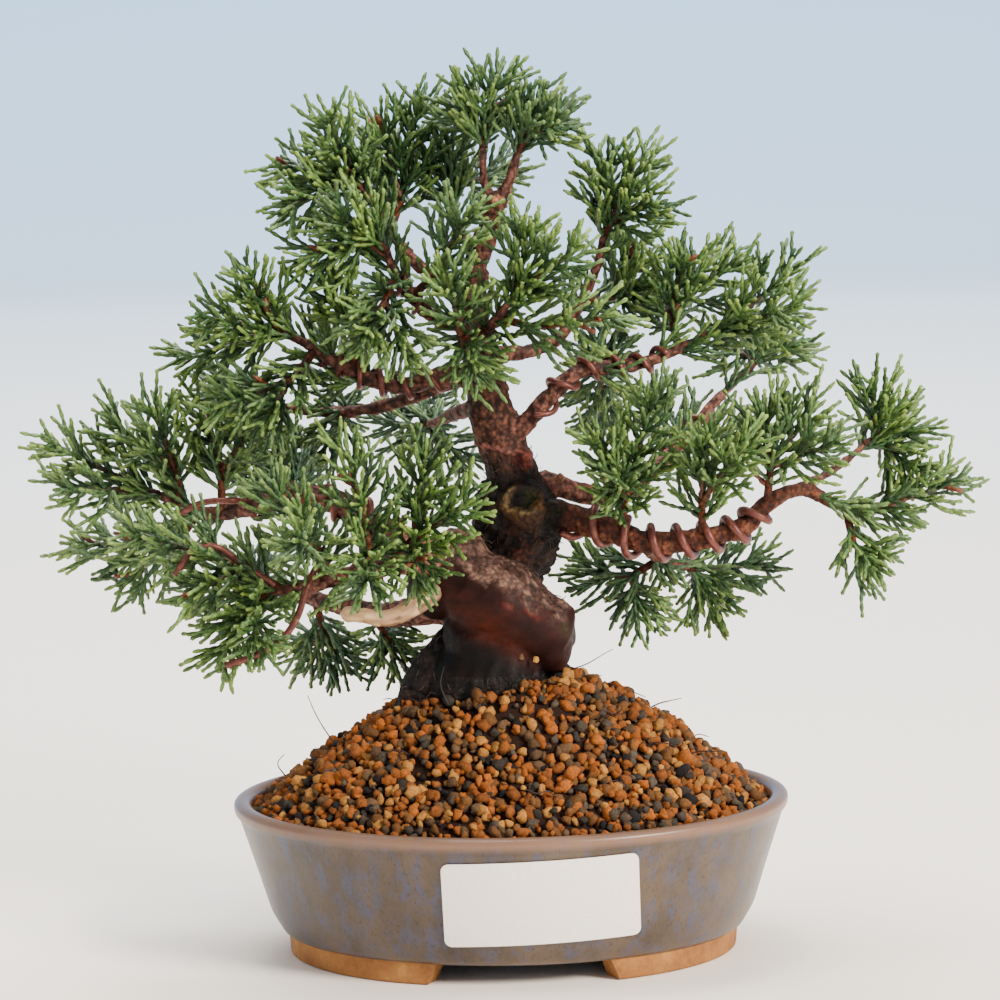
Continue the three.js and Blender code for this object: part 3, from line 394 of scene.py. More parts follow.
def plain_material(name, low, high, scale, strength):
    look = Look(name, Roughness=0.6)
    grain = look.noise(scale)
    return look.finish(look.ramp(grain, (0.3, low), (0.7, high)), grain, strength, 0.0002)


FOLIAGE = foliage_material()
BARK = bark_material()
POLISHED = polished_material()
JIN = jin_material()
GRANULES = granule_material()
WIRE = wire_material()
GLAZE = glaze_material()
CLAY = clay_material()
PAPER = plain_material("label_paper", "f0e8e0", "f9f3ec", 1200, 0.05)
MESH_PLASTIC = plain_material("mesh_plastic", "181917", "252723", 800, 0.2)

for name in ("drain_mesh_left", "drain_mesh_right"):
    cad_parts[name].data.materials.clear()
    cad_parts[name].data.materials.append(MESH_PLASTIC)


# Pot: each radius is the mean of the oval's half axes
OVAL_OFFSET = 7.5
OVAL_BLEND = 20
POT_SEGMENTS = 160
POT_ROUNDING = 1.6
FOOT_RADIUS = 53
FOOT_HEIGHT = 6.2
FOOT_ROUNDING = 0.9
FOOT_SECTIONS = 61
FOOT_GAP_WIDTH = 48
FOOT_TURN = math.radians(2.5)
# The cut ends of the foot ring slope, so that each gap is wider at the bottom
FOOT_LEAN = math.radians(2.8)
DRAIN_RADIUS = 6
DRAIN_SPACING = 52
DRAIN_SIDES = 40
CORNER_STEPS = 4
CLAY_TONE = "c8995f"


def oval_ring(radius, height, count):
    offset = OVAL_OFFSET * min(1, radius / OVAL_BLEND)
    turns = circle(count)
    ring = [(radius + offset) * np.cos(turns), (radius - offset) * np.sin(turns), np.full(count, height)]
    return np.array(ring).T


def rounded(corners, size):
    """A profile with each inner corner replaced by a short curve."""
    points = [corners[0]]
    for before, corner, after in zip(corners, corners[1:], corners[2:]):
        before, corner, after = (np.array(p, float) for p in (before, corner, after))
        reach = min(size, np.linalg.norm(corner - before) / 2.2, np.linalg.norm(after - corner) / 2.2)
        start = corner + unit(before - corner) * reach
        end = corner + unit(after - corner) * reach
        points.extend(bend(start, corner, end, CORNER_STEPS).tolist())
    points.append(corners[-1])
    return points


def cut_hole(piece, x, y, radius, bottom, top):
    """Cuts a round hole down through the piece."""
    turns = circle(DRAIN_SIDES)
    ends = [[x + radius * np.cos(turns), y + radius * np.sin(turns), turns * 0 + z] for z in (bottom, top)]
    drill = Gather()
    drill.add(np.hstack(ends).T, ring_faces(2, DRAIN_SIDES), CLAY_TONE)
    tool = drill.object("drill", CLAY)
    cut = piece.modifiers.new("hole", "BOOLEAN")
    cut.operation = "DIFFERENCE"
    cut.object = tool
    shape = bpy.data.meshes.new_from_object(piece.evaluated_get(bpy.context.evaluated_depsgraph_get()))
    piece.modifiers.clear()
    piece.data = shape
    bpy.data.objects.remove(tool)


def make_pot():
    outside = [(46, 5.2), (51.8, 5.4), (54.6, 6.4), (58, 12.2), (62, 25.2), (66, 37.8)]
    lip = [(67.4, 39.4), (67.4, 41.6), (65.6, 42.4), (63.2, 42), (62.2, 39)]
    inside = [(61.6, 36.4), (53.8, 16), (49.8, 11), (45, 9.6)]
    profile = rounded([*outside, *lip, *inside], POT_ROUNDING)
    rings = [oval_ring(radius, height, POT_SEGMENTS) for radius, height in profile]
    body = Gather()
    body.add(np.vstack(rings), ring_faces(len(rings), POT_SEGMENTS), "777067")
    pot = body.object("pot_body", GLAZE)
    for side in (-1, 1):
        cut_hole(pot, side * DRAIN_SPACING / 2, 0, DRAIN_RADIUS, 3, 12)
    pot.data.set_sharp_from_angle(angle=math.radians(40))
    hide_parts("pot")


def make_feet():
    profile = rounded([(46.2, FOOT_HEIGHT), (46, 0.1), (52.9, 0.1), (53.4, FOOT_HEIGHT)], FOOT_ROUNDING)
    radii, heights = np.array(profile).T
    half_gap = math.asin(FOOT_GAP_WIDTH / 2 / (FOOT_RADIUS + OVAL_OFFSET))
    feet = Gather()
    for side in (0, 1):
        turns = np.linspace(half_gap - math.pi / 2, math.pi / 2 - half_gap, FOOT_SECTIONS) + side * math.pi
        sections = []
        for number, turn in enumerate(turns + FOOT_TURN):
            end = (number == 0) - (number == FOOT_SECTIONS - 1)
            turn = turn + FOOT_LEAN * (0.5 - heights / FOOT_HEIGHT) * end
            across = (radii + OVAL_OFFSET) * np.cos(turn)
            sections.append(np.array([across, (radii - OVAL_OFFSET) * np.sin(turn), heights]).T)
        feet.add(np.vstack(sections), ring_faces(FOOT_SECTIONS, len(profile), flip=True), CLAY_TONE)
    piece = feet.object("pot_feet", CLAY)
    piece.data.set_sharp_from_angle(angle=math.radians(50))
    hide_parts("pot")


# Label: a sheet with rounded corners, bent round the wall. The lifts are its front and back off the glaze.
LABEL_SIZE = (51, 23.4)
LABEL_CORNER = 2
LABEL_CENTRE = (7.3, 24.4)
LABEL_TILT = math.radians(1.6)
LABEL_FRONT_LIFT = 0.5
LABEL_BACK_LIFT = 0.2
LABEL_ROWS = 9


def label_place(x, z, lift):
    across = LABEL_CENTRE[0] + x * math.cos(LABEL_TILT) - z * math.sin(LABEL_TILT)
    height = LABEL_CENTRE[1] + x * math.sin(LABEL_TILT) + z * math.cos(LABEL_TILT)
    radius = np.interp(height, [12, 38.4], [58, 66.2]) + lift
    return [across, -(radius - OVAL_OFFSET) * math.sqrt(1 - (across / (radius + OVAL_OFFSET)) ** 2), height]


def make_label():
    half, high = LABEL_SIZE[0] / 2, LABEL_SIZE[1] / 2
    corner = [LABEL_CORNER * (1 - math.cos(t)) for t in np.linspace(0, math.pi / 2, 8)]
    columns = [-half + c for c in corner] + list(np.linspace(-half + 4, half - 4, 25))
    columns += [half - c for c in reversed(corner)]
    points = []
    for x in columns:
        into = max(0, abs(x) - half + LABEL_CORNER)
        top = high - LABEL_CORNER + math.sqrt(LABEL_CORNER ** 2 - into ** 2)
        rows = [top * (2 * row / (LABEL_ROWS - 1) - 1) for row in range(LABEL_ROWS)]
        points.extend(label_place(x, z, LABEL_FRONT_LIFT) for z in rows)
        points.extend(label_place(x, z, LABEL_BACK_LIFT) for z in reversed(rows))
    count = 2 * LABEL_ROWS
    faces = ring_faces(len(columns), count, flip=True, caps=(False, False))
    for row in range(LABEL_ROWS - 1):
        edge = [row + 1, count - 2 - row, count - 1 - row, row]
        faces.append(edge)
        faces.append([(len(columns) - 1) * count + i for i in reversed(edge)])
    sheet = Gather()
    sheet.add(points, faces, "f4f3f0")
    piece = sheet.object("label_sheet", PAPER)
    piece.data.set_sharp_from_angle(angle=math.radians(50))
    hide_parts("label")


make_pot()
make_feet()
make_label()


def stem(radii, *points):
    """A trunk, root or limb: its middle line, and its radii spread evenly along it."""
    return {"path": Path(points), "radii": radii}


def radius_at(wood, share):
    radii = wood["radii"]
    return np.interp(np.asarray(share) * (len(radii) - 1), np.arange(len(radii)), radii)


# The tree's wood, as in the CAD source
TRUNK_BASE = stem([17, 18, 16.5, 12], [-7, 2, 48], [-7, 2, 62], [-5, 1, 76], [-2, 0, 90])
LOG = stem(
    [8.5, 10.5, 12, 10, 7], [14, -2, 85], [5, -4, 89.5], [-5, -5, 97], [-14, -4, 103], [-20, -3, 107],
)
ROOTS = [
    stem([8, 6.5, 4.5], [-12, 1, 82], [-21, 0, 73], [-28, -1, 62]),
    stem([7, 5.5, 4], [6, 4, 77], [15, 8, 67], [22, 11, 57]),
    stem([7, 4.5, 3.5], [-4, -6, 75], [-8, -13, 64], [-11, -18, 54]),
    stem([7, 5, 3.5], [-6, 8, 78], [-12, 17, 70], [-16, 25, 60]),
]
LIMBS = {
    "upper": stem(
        [12, 10.5, 11, 10.5, 7, 6.5, 6.2, 5.6, 4.8, 4.2, 3.6, 3.1, 2.5],
        [-4, 4, 88], [-2, 6, 101], [4, 8, 111], [4, 7, 121], [1, 3, 132], [-2, 0, 141], [-4, -1, 150],
        [-6, -1, 159], [-8, 0, 170], [-8, 1, 179], [-6, 1, 187], [-3, 0, 196], [0, -2, 203],
    ),
    "left_low": stem(
        [5, 1.3], [-16, -3, 106], [-27, -8, 112], [-36, -10, 118], [-45, -12, 124], [-57, -10, 125],
        [-69, -6, 122], [-80, -2, 120], [-93, 2, 125],
    ),
    "left_front": stem(
        [4, 1.2], [-17, -6, 107], [-29, -18, 108], [-40, -28, 107], [-51, -36, 105], [-62, -40, 104],
    ),
    "left_under": stem(
        [4.5, 1.2], [-14, 0, 94], [-24, 3, 92], [-33, 10, 90], [-45, 20, 91], [-56, 32, 92], [-68, 42, 93],
    ),
    "left_mid": stem(
        [3, 1.3], [-5, -1, 155], [-15, -4, 156], [-27, -7, 154], [-40, -9, 158], [-49, -9, 164],
        [-56, -8, 168],
    ),
    "left_mid_back": stem(
        [2.2, 1.1], [-12, -2, 155], [-22, 2, 151], [-33, 8, 147], [-48, 14, 145], [-65, 20, 147],
    ),
    "back_mid": stem([2.8, 1.2], [-2, 1, 149], [-11, 22, 144], [-21, 44, 138]),
    "left_high": stem(
        [2.4, 1.2], [-8, 0, 170], [-16, -6, 171], [-23, -10, 177], [-28, -12, 184], [-30, -12, 190],
    ),
    "left_top": stem(
        [2.2, 1.2], [-8, 1, 178], [-16, 6, 180], [-23, 8, 186], [-30, 8, 195], [-36, 6, 205],
    ),
    "top_twig": stem([1.7, 1.1], [-6, 1, 187], [-10, 9, 193], [-13, 14, 201]),
    "apex": stem([1.6, 1.1], [-1, -1, 201], [-4, 0, 207], [-4, 2, 216]),
    "apex_right": stem([1.6, 1.1], [0, -1, 202], [3, -1, 208], [5, 0, 215]),
    "right_high": stem(
        [2.4, 1.1], [-4, 1, 161], [6, 8, 161], [15, 12, 164], [21, 14, 173], [26, 12, 184], [28, 10, 192],
    ),
    "front_high": stem([1.8, 1.1], [-6, -2, 164], [-3, -14, 170], [2, -24, 177]),
    "right_mid": stem(
        [2.9, 1.2], [-1, 0, 138], [6, -3, 143], [13, -6, 151], [21, -6, 157], [36, -2, 158], [50, 2, 163],
        [57, 3, 166],
    ),
    "right_back": stem(
        [3.2, 1.2], [10, 8, 126], [20, 14, 122], [31, 22, 120], [41, 34, 125], [52, 44, 135],
        [61, 50, 144], [69, 52, 151],
    ),
    "right_low": stem(
        [4.1, 1.4], [8, 5, 119], [17, 1, 117], [26, -4, 115], [37, -8, 111], [52, -10, 112],
        [63, -10, 115], [70, -8, 121], [79, -4, 124], [89, 0, 119], [98, 2, 118],
    ),
    "right_fork": stem([1.5, 1.1], [78, -4, 124], [88, 3, 128], [97, 8, 134]),
    "right_under": stem([2.2, 1.1], [36, -7, 111], [40, 10, 105], [50, 28, 99]),
}
DEAD_LIMB = stem([3, 1.8], [-17, -8, 101], [-24, -12, 96], [-31, -14, 93], [-43, -18, 95])
SCAR_CENTRE = np.array([4.7, -5.2, 121.2])
SCAR_OUT = np.array([-0.13, -0.988, 0.086])
BUD = np.array([5.4, -3.4, 133.0])
CUT_STUB = np.array([14.8, 3.0, 127.4])
CUT_TOP = np.array([-0.8, -4.6, 202.4])

# Swellings that the tubes of the wood lack, each with its centre and its radii
SWELLINGS = [
    ((11.5, -3, 84), (6, 8, 8.4)),
    ((-4, -4, 86), (14, 10, 12)),
    ((-19, -3, 99), (8, 7, 9)),
    (SCAR_CENTRE - 3.2 * SCAR_OUT, (6.9, 3.6, 7.4)),
    (BUD, (2.3, 2.2, 3.1)),
    (CUT_STUB, 1.5),
    (CUT_TOP + [0, 1.4, 0], (2.0, 0.9, 2.3)),
    ((-12.5, -3.5, 106.5), (8.5, 7, 8.5)),
    ((-2, 5, 118), (7, 8, 10)),
]

TWIG_LENGTH = 6
TWIG_SQUARENESS = 0.6
STUB_RADIUS = 1.3
STUB_LENGTH = 3

# Each spray has its name, its limb, its share of the way along it, and where its leaders end
SPRAYS = [
    ("apex_left", "apex", 1, [0, 0, 235], [-11, 6, 228]),
    ("apex_right", "apex_right", 1, [16, -6, 223], [10, 6, 227]),
    ("crown_left", "left_top", 1, [-60, 2, 213], [-57, -14, 201], [-45, -8, 227]),
    ("crown_back", "left_top", 0.7, [-33, 12, 227], [-21, 20, 231], [-37, 44, 215]),
    ("crown_middle", "top_twig", 1, [-14, 22, 221], [4, 38, 209]),
    ("high_left", "left_high", 1, [-53, -14, 188], [-43, -22, 200]),
    ("high_hanging", "left_high", 0.8, [-36, -32, 168], [-24, -30, 161]),
    ("high_inner", "left_high", 0.6, [-8, -24, 202]),
    ("mid_left", "left_mid", 1, [-79, -17, 174], [-88, 2, 160], [-66, -21, 187]),
    ("mid_left_low", "left_mid", 0.86, [-75, -26, 151], [-63, -24, 146]),
    ("mid_left_top", "left_mid", 0.66, [-46, -10, 181]),
    ("mid_left_back", "left_mid_back", 1, [-80, 36, 149], [-74, 52, 137]),
    ("mid_left_inner", "left_mid_back", 0.65, [-52, 36, 128], [-48, 46, 163]),
    ("back", "back_mid", 1, [-33, 64, 137], [-9, 62, 124], [-21, 72, 143]),
    ("low_left_tip", "left_low", 1, [-124, 2, 141], [-120, -8, 128]),
    ("low_left_top", "left_low", 0.92, [-108, 4, 146], [-93, -10, 150]),
    ("low_left_inner", "left_low", 0.78, [-82, 6, 149], [-62, -8, 148]),
    ("low_left_under", "left_low", 0.86, [-122, 20, 110], [-106, 12, 99]),
    ("low_left_back", "left_low", 0.55, [-75, 46, 126], [-60, 40, 135]),
    ("front_left_tip", "left_front", 1, [-75, -46, 86], [-63, -62, 94]),
    ("front_left_side", "left_front", 0.92, [-101, -40, 122], [-84, -50, 104]),
    ("front_left_top", "left_front", 0.72, [-63, -38, 133], [-53, -72, 122]),
    ("front_middle", "left_front", 0.52, [-41, -42, 144], [-36, -64, 107]),
    ("front_inner", "left_front", 0.34, [-20, -36, 143], [-8, -42, 128], [-24, -44, 108]),
    ("under_left", "left_under", 1, [-87, 56, 87], [-70, 70, 94]),
    ("under_left_hanging", "left_under", 0.72, [-59, 50, 73], [-46, 38, 71]),
    ("under_left_inner", "left_under", 0.4, [-32, 30, 76]),
    ("right_high", "right_high", 1, [27, 12, 215], [40, 6, 214], [42, 0, 201]),
    ("right_high_low", "right_high", 0.62, [37, 26, 189], [34, 16, 176]),
    ("front_high", "front_high", 1, [7, -30, 197], [21, -38, 192]),
    ("front_high_low", "front_high", 0.68, [30, -34, 174]),
    ("front_high_inner", "front_high", 0.4, [-13, -34, 185], [-7, -26, 159]),
    ("right_mid", "right_mid", 1, [80, 7, 184], [79, -11, 173]),
    ("right_mid_top", "right_mid", 0.84, [50, -1, 187], [66, 14, 186], [42, 26, 173]),
    ("right_mid_back", "right_mid", 0.55, [28, 34, 163], [27, 42, 135]),
    ("right_back", "right_back", 1, [83, 58, 157], [61, 62, 157]),
    ("right_back_low", "right_back", 0.6, [41, 54, 144], [77, 72, 133]),
    ("right_tip", "right_low", 1, [124, 4, 125]),
    ("right_hanging", "right_low", 0.93, [97, -4, 106]),
    ("right_front", "right_low", 0.26, [23, -28, 143], [40, -24, 155], [28, -36, 134]),
    ("right_middle", "right_low", 0.48, [52, -22, 141], [63, -32, 140]),
    ("right_outer", "right_low", 0.68, [69, -6, 148], [83, -12, 148], [87, -24, 138]),
    ("right_fork", "right_fork", 1, [99, 6, 150], [108, 14, 138], [110, 5, 127]),
    ("right_under", "right_under", 1, [73, 38, 98], [57, 36, 87]),
    ("right_under_inner", "right_under", 0.6, [21, 26, 99], [38, 26, 86]),
]


def place_spray(limb_name, along, tips):
    """The root on the limb, the direction of growth, and where the leaders part."""
    limb = LIMBS[limb_name]
    root = limb["path"].at(along)
    tangent = limb["path"].tangent(along)
    out = unit(np.mean(tips, axis=0) - root)
    if along == 1:
        out = unit((out + tangent) / 2)
        clear = GAP + STUB_RADIUS * math.sin(math.acos(np.clip(np.dot(out, tangent), -1, 1)))
        start = root + tangent * clear
    else:
        out = unit(out - TWIG_SQUARENESS * np.dot(out, tangent) * tangent)
        start = root + out * (radius_at(limb, along) + TWIG_LENGTH + GAP)
    return root, out, start + out * STUB_LENGTH


# Wood: tubes are joined and remeshed as one skin, then roughened along the grain
WOOD_VOXEL = 0.74
DEAD_VOXEL = 0.45
BALL_ROWS = 14
BALL_COLUMNS = 20
BARK_FIBRES = 260
# The base belongs to the log above this height, and bark is torn from the next one up
BASE_TOP = 76
TORN_FROM = 70
# A raised ring goes round the upper trunk here
BEAD_HEIGHT = 136


def wood_tube(gather, wood, sides, step):
    shares = np.linspace(0, 1, max(6, int(wood["path"].length / step)))
    gather.tube(wood["path"].at(shares), radius_at(wood, shares), sides, (0, 0, 0))


def ball(gather, centre, radii):
    turns = circle(BALL_COLUMNS)
    points = [UP]
    for row in range(1, BALL_ROWS):
        fall = math.pi * row / BALL_ROWS
        across = math.sin(fall)
        points.extend([across * math.cos(t), across * math.sin(t), math.cos(fall)] for t in turns)
    points.append(-UP)
    rings = ring_faces(BALL_ROWS - 1, BALL_COLUMNS, flip=True, caps=(False, False))
    faces = [[i + 1 for i in face] for face in rings]
    foot = len(points) - 1
    for column in range(BALL_COLUMNS):
        after = (column + 1) % BALL_COLUMNS
        faces.append([0, 1 + column, 1 + after])
        faces.append([foot, foot - BALL_COLUMNS + after, foot - BALL_COLUMNS + column])
    gather.add(np.array(centre, float) + np.array(points) * radii, faces, (0, 0, 0))


def remeshed(gather, voxel, smoothing):
    """One skin round everything gathered: its points in millimetres, its normals and its faces."""
    piece = gather.object("skin")
    skin = piece.modifiers.new("skin", "REMESH")
    skin.mode = "VOXEL"
    skin.voxel_size = voxel * MM
    soften = piece.modifiers.new("soften", "SMOOTH")
    soften.factor = 0.5
    soften.iterations = smoothing
    shape = piece.evaluated_get(bpy.context.evaluated_depsgraph_get()).to_mesh()
    points, normals = np.empty((2, len(shape.vertices) * 3))
    shape.vertices.foreach_get("co", points)
    shape.vertices.foreach_get("normal", normals)
    faces = [list(face.vertices) for face in shape.polygons]
    bpy.data.objects.remove(piece)
    return points.reshape(-1, 3) / MM, normals.reshape(-1, 3), faces


def nearest_wood(points, woods):
    """For each point: which wood is nearest to its surface, the share along it, and its direction."""
    best = np.full(len(points), 1e9)
    which = np.zeros(len(points), int)
    share = np.zeros(len(points))
    along = np.zeros((len(points), 3))
    for number, wood in enumerate(woods):
        path = wood["path"]
        count = max(4, int(path.length / 5))
        line = path.at(np.linspace(0, 1, count + 1))
        for i in range(count):
            step = line[i + 1] - line[i]
            part = np.clip((points - line[i]) @ step / (step @ step), 0, 1)
            spot = (i + part) / count
            gap = np.linalg.norm(points - line[i] - part[:, None] * step, axis=1) - radius_at(wood, spot)
            nearer = gap < best
            best[nearer] = gap[nearer]
            which[nearer] = number
            share[nearer] = spot[nearer]
            along[nearer] = unit(step)
    return which, share, along


def grain_noise(points, along, size, stretch, seed):
    """Noise between -1 and 1 whose features are drawn out along the wood."""
    squeezed = points - along * np.sum(points * along, axis=1)[:, None] * (1 - 1 / stretch)
    squeezed = squeezed / size + seed
    return np.array([noise.noise(Vector(place)) for place in squeezed])


def soft_step(low, high, values):
    t = np.clip((values - low) / (high - low), 0, 1)
    return t * t * (3 - 2 * t)


def blended(base, other, weight):
    return base + (tone_of(other) - base) * np.asarray(weight)[:, None]


def near(points, centre, size):
    """A soft spot: 1 at the centre, falling away over the size."""
    return np.exp(-np.sum(((points - centre) / size) ** 2, axis=1))


def two_tones(low, high, share):
    return blended(np.tile(colour(low), (len(share), 1)), high, share)


def scar_shape(points, normals):
    """How far the healed cut raises the trunk, and the strengths of its ring, hollow, callus and rim. The
    rim is a painted highlight along the lower edge of the hollow.
    """
    side = unit(np.cross(SCAR_OUT, UP))
    top = np.cross(side, SCAR_OUT)
    relative = points - SCAR_CENTRE
    across, up, deep = relative @ side, relative @ top, relative @ SCAR_OUT
    faces_out = soft_step(0.0, 0.5, normals @ SCAR_OUT) * soft_step(-7, -4, deep)
    turn = np.arctan2(up, across)
    wobble = 1 + 0.06 * np.sin(3 * turn + 1) + 0.05 * np.sin(5 * turn + 2)
    outer = np.hypot(across / 6.4, up / 6.9) / wobble
    inner = np.hypot(across / 3.9, (up - 1.7) / 3.0) / wobble
    hollow = (1 - soft_step(0.75, 1.1, inner)) * faces_out
    ring = (1 - soft_step(0.72, 1.05, outer)) * faces_out
    # The rim is a painted highlight: a thin pale band only on the hollow's lower and right edge.
    rim = np.exp(-((inner - 1.12) / 0.13) ** 2) * faces_out * (1 - soft_step(0, 4, up - across))
    callus = ring * (1 - 0.85 * soft_step(1, 5, up))
    return 1.1 * ring - 2.3 * hollow, ring, hollow, callus, rim


def paint_log(points, ridges, lumps, crest):
    """The bare lower trunk: dark red-brown with an orange glow, fibrous bark along its top edge, and
    painted shade along its underside.
    """
    axis = unit(np.array([28.0, 0.0, -18.0]))
    relative = points - np.array([0.0, -4.5, 93.2])
    run, rise = relative @ axis, relative @ np.array([-axis[2], 0.0, axis[0]])
    face = two_tones("28110e", "3d1c17", soft_step(-0.5, 0.5, lumps))
    face = blended(face, "5e2a10", 0.75 * np.exp(-(((run + 4) / 11) ** 2 + ((rise + 5.5) / 4) ** 2)))
    face = blended(face, "3d211f", 0.7 * soft_step(8, 16, run))
    # Painted shade: the log darkens to near black toward its underside.
    face = blended(face, "120807", soft_step(8, 14, -rise))
    edge = 4.6 + 0.06 * run
    streak = np.exp(-((rise - edge + 1.2 + 2 * lumps) / 0.7) ** 2) * soft_step(-0.3, 0.2, ridges)
    streak = streak * soft_step(-6, 0, run) * (1 - soft_step(8, 12, run))
    face = blended(face, "7a2a20", 0.5 * streak)
    fuzz = soft_step(-1.5, 2.2, rise - edge + 3 * ridges) * (1 - soft_step(11, 16, run))
    return blended(face, two_tones("5c4138", "957668", crest), 0.85 * fuzz), fuzz


def paint_upper(points, normals, crest, speck, scar, bead):
    """The upper trunk: dark low down, browner above, with the healed cut, a raised ring and a bud. The
    cut's hollow carries painted shade and some moss, and its lower rim a painted highlight.
    """
    ring, hollow, callus, rim = scar
    paint = two_tones("170e0c", "402a21", crest)
    smooth_patch = near(points, [3, -2, 108], [4.5, 9, 5]) * (normals[:, 1] < 0)
    paint = blended(paint, two_tones("3b1c12", "6a3820", crest), 0.85 * smooth_patch)
    paint = blended(paint, two_tones("3f231d", "77503f", speck), soft_step(128, 138, points[:, 2]))
    green_share = soft_step(116, 122, points[:, 2])
    paint = blended(paint, two_tones("4a2c17", "6d5230", green_share), 0.95 * callus)
    # Painted shade with moss: the cut's hollow is near black on its left and dark moss green on its right.
    moss = two_tones("15140e", "3d3f1e", soft_step(3, 8, points[:, 0]))
    paint = blended(paint, moss, soft_step(0.3, 0.8, hollow))
    # Painted highlight on the hollow's lower edge.
    paint = blended(paint, "a08c66", 0.8 * rim)
    paint = blended(paint, "9a6a60", 0.8 * bead)
    return blended(paint, "7e3b2d", np.clip(1.3 * near(points, BUD, 2.4), 0, 0.85))


def make_tree():
    woods = [TRUNK_BASE, LOG, *ROOTS, *LIMBS.values()]
    body = Gather()
    for wood in woods:
        wood_tube(body, wood, sides=20, step=1.2)
    for centre, radii in SWELLINGS:
        ball(body, centre, radii)
    points, normals, faces = remeshed(body, WOOD_VOXEL, 4)
    which, share, along = nearest_wood(points, woods)

    height = points[:, 2]
    kind = np.array(["base", "log", *["root"] * len(ROOTS), *LIMBS])[which]
    is_log = (kind == "log") | (kind == "base") & (height > BASE_TOP)
    is_root = (kind == "root") | (kind == "base") & (height <= BASE_TOP)
    is_upper = kind == "upper"
    is_limb = ~(is_log | is_root | is_upper)
    low_upper = is_upper & (height < BEAD_HEIGHT)
    ridges = grain_noise(points, along, 2.4, 2.6, 5.0)
    flakes = grain_noise(points, along, 1.2, 1.8, 31.0)
    lumps = grain_noise(points, along, 7.0, 1.5, 62.0)
    crest = soft_step(-0.15, 0.45, ridges + 0.4 * flakes)
    speck = soft_step(-0.4, 0.4, flakes + 0.3 * ridges)
    raised, ring, hollow, callus, rim = (part * is_upper for part in scar_shape(points, normals))
    bead = np.exp(-((height - BEAD_HEIGHT + 0.2 * points[:, 0]) / 0.7) ** 2) * is_upper
    log_paint, fuzz = paint_log(points, ridges, lumps, crest)

    thickness = np.select([is_limb], [0.42 + 0.2 * (1 - share)], 1.0)
    rough = np.select([is_log, is_root, low_upper, is_upper], [0.12 + 0.5 * fuzz, 1.1, 1.0, 0.8], thickness)
    rough = rough * (1 - 0.85 * np.maximum(ring, hollow))
    lift = rough * (ridges + 0.55 * flakes) + np.where(is_limb, 0.3, 0.8) * lumps * (1 - ring)
    lift = lift + raised + 0.6 * bead
    moved = points + normals * lift[:, None]

    paint = two_tones("55332a", "93685a", speck)
    paint = blended(paint, "2a1611", 0.45 * soft_step(0.1, 0.5, -ridges))
    upper = paint_upper(points, normals, crest, speck, (ring, hollow, callus, rim), bead)
    paint = np.where(is_upper[:, None], upper, paint)
    # Painted shade: the base and roots are dark bark made near black under the log, blending into the log's
    # colours between 71 and 82 mm.
    log_share = np.where(kind == "base", soft_step(71, 82, height), is_log)
    base_paint = blended(two_tones("110b09", "33211b", crest), log_paint, log_share)
    paint = np.where((is_log | is_root)[:, None], base_paint, paint)
    pale = two_tones("5d3424", "8c5c44", 0.8 * crest)
    pale = blended(upper, pale, soft_step(13, 17, points[:, 0]))
    paint = np.where((kind == "right_low")[:, None], pale, paint)
    paint = blended(paint, "c29372", np.clip(1.4 * near(points, CUT_STUB, 1.3), 0, 0.9))
    paint = blended(paint, "c98f6c", np.clip(1.8 * near(points, CUT_TOP, 1.3), 0, 1))
    moss = near(points, [15, -9, 88], 2.0) + near(points, [14, -2, 121], 2.4)
    paint = blended(paint, "3a4714", np.clip(moss * (0.6 + flakes), 0, 1))

    skin = Gather()
    skin.add(moved, faces, paint)
    tree = skin.object("tree_wood", BARK, POLISHED)
    polished = is_log & (fuzz < 0.4)
    tree.data.polygons.foreach_set("material_index", [int(polished[face].sum() > 2) for face in faces])
    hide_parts("tree")

    torn = is_log & (fuzz > 0.5) | low_upper & (ring < 0.1) | is_root & (height > TORN_FROM)
    make_bark_fibres(np.flatnonzero(torn), moved, normals, along, paint)


def make_bark_fibres(torn, points, normals, along, paint):
    """Loose fibres that stand off where the bark is torn."""
    draw = np.random.default_rng(5)
    fibres = Gather()
    for index in draw.choice(torn, BARK_FIBRES, replace=False):
        start = points[index]
        heading = along[index] * draw.choice([-1, 1]) + 0.6 * normals[index] + 0.4 * draw.normal(size=3)
        heading = unit(heading)
        length = draw.uniform(1.5, 3.6)
        end = start + heading * length - 0.3 * length * normals[index]
        tone = mix(paint[index], colour("a98b80"), 0.3)
        line = bend(start, start + heading * 0.6 * length, end, 5)
        fibres.tube(line, np.linspace(0.16, 0.07, 5), 3, tone)
    piece = fibres.object("bark_fibres", BARK)


def make_twigs():
    twigs = Gather()
    shade = two_tones("55301f", "7a4526", np.linspace(0, 1, 8))
    for _, limb_name, along, *tips in SPRAYS:
        root, out, parting = place_spray(limb_name, along, tips)
        twigs.tube(bend(root, root + out * 3, parting, 8), np.linspace(1.25, 1.0, 8), 8, shade)
    piece = twigs.object("tree_twigs", BARK)
    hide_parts("tree")


def make_dead_limb():
    jin = Gather()
    wood_tube(jin, DEAD_LIMB, sides=16, step=0.8)
    ball(jin, (-41.5, -17.2, 94.6), (2.6, 1.6, 2.3))
    points, normals, faces = remeshed(jin, DEAD_VOXEL, 3)
    _, share, along = nearest_wood(points, [DEAD_LIMB])
    grain = grain_noise(points, along, 1.3, 5.0, 9.0)
    cracks = soft_step(0.2, 0.5, -grain)
    moved = points + normals * (0.4 * grain - 0.25 * cracks)[:, None]
    paint = blended(two_tones("8f6f58", "c9a67e", share), "d8bc92", soft_step(0, 0.6, grain))
    paint = blended(paint, "6d4f3c", 0.7 * cracks)
    skin = Gather()
    skin.add(moved, faces, paint)
    piece = skin.object("dead_limb", JIN)
    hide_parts("tree")


make_tree()
make_twigs()
make_dead_limb()

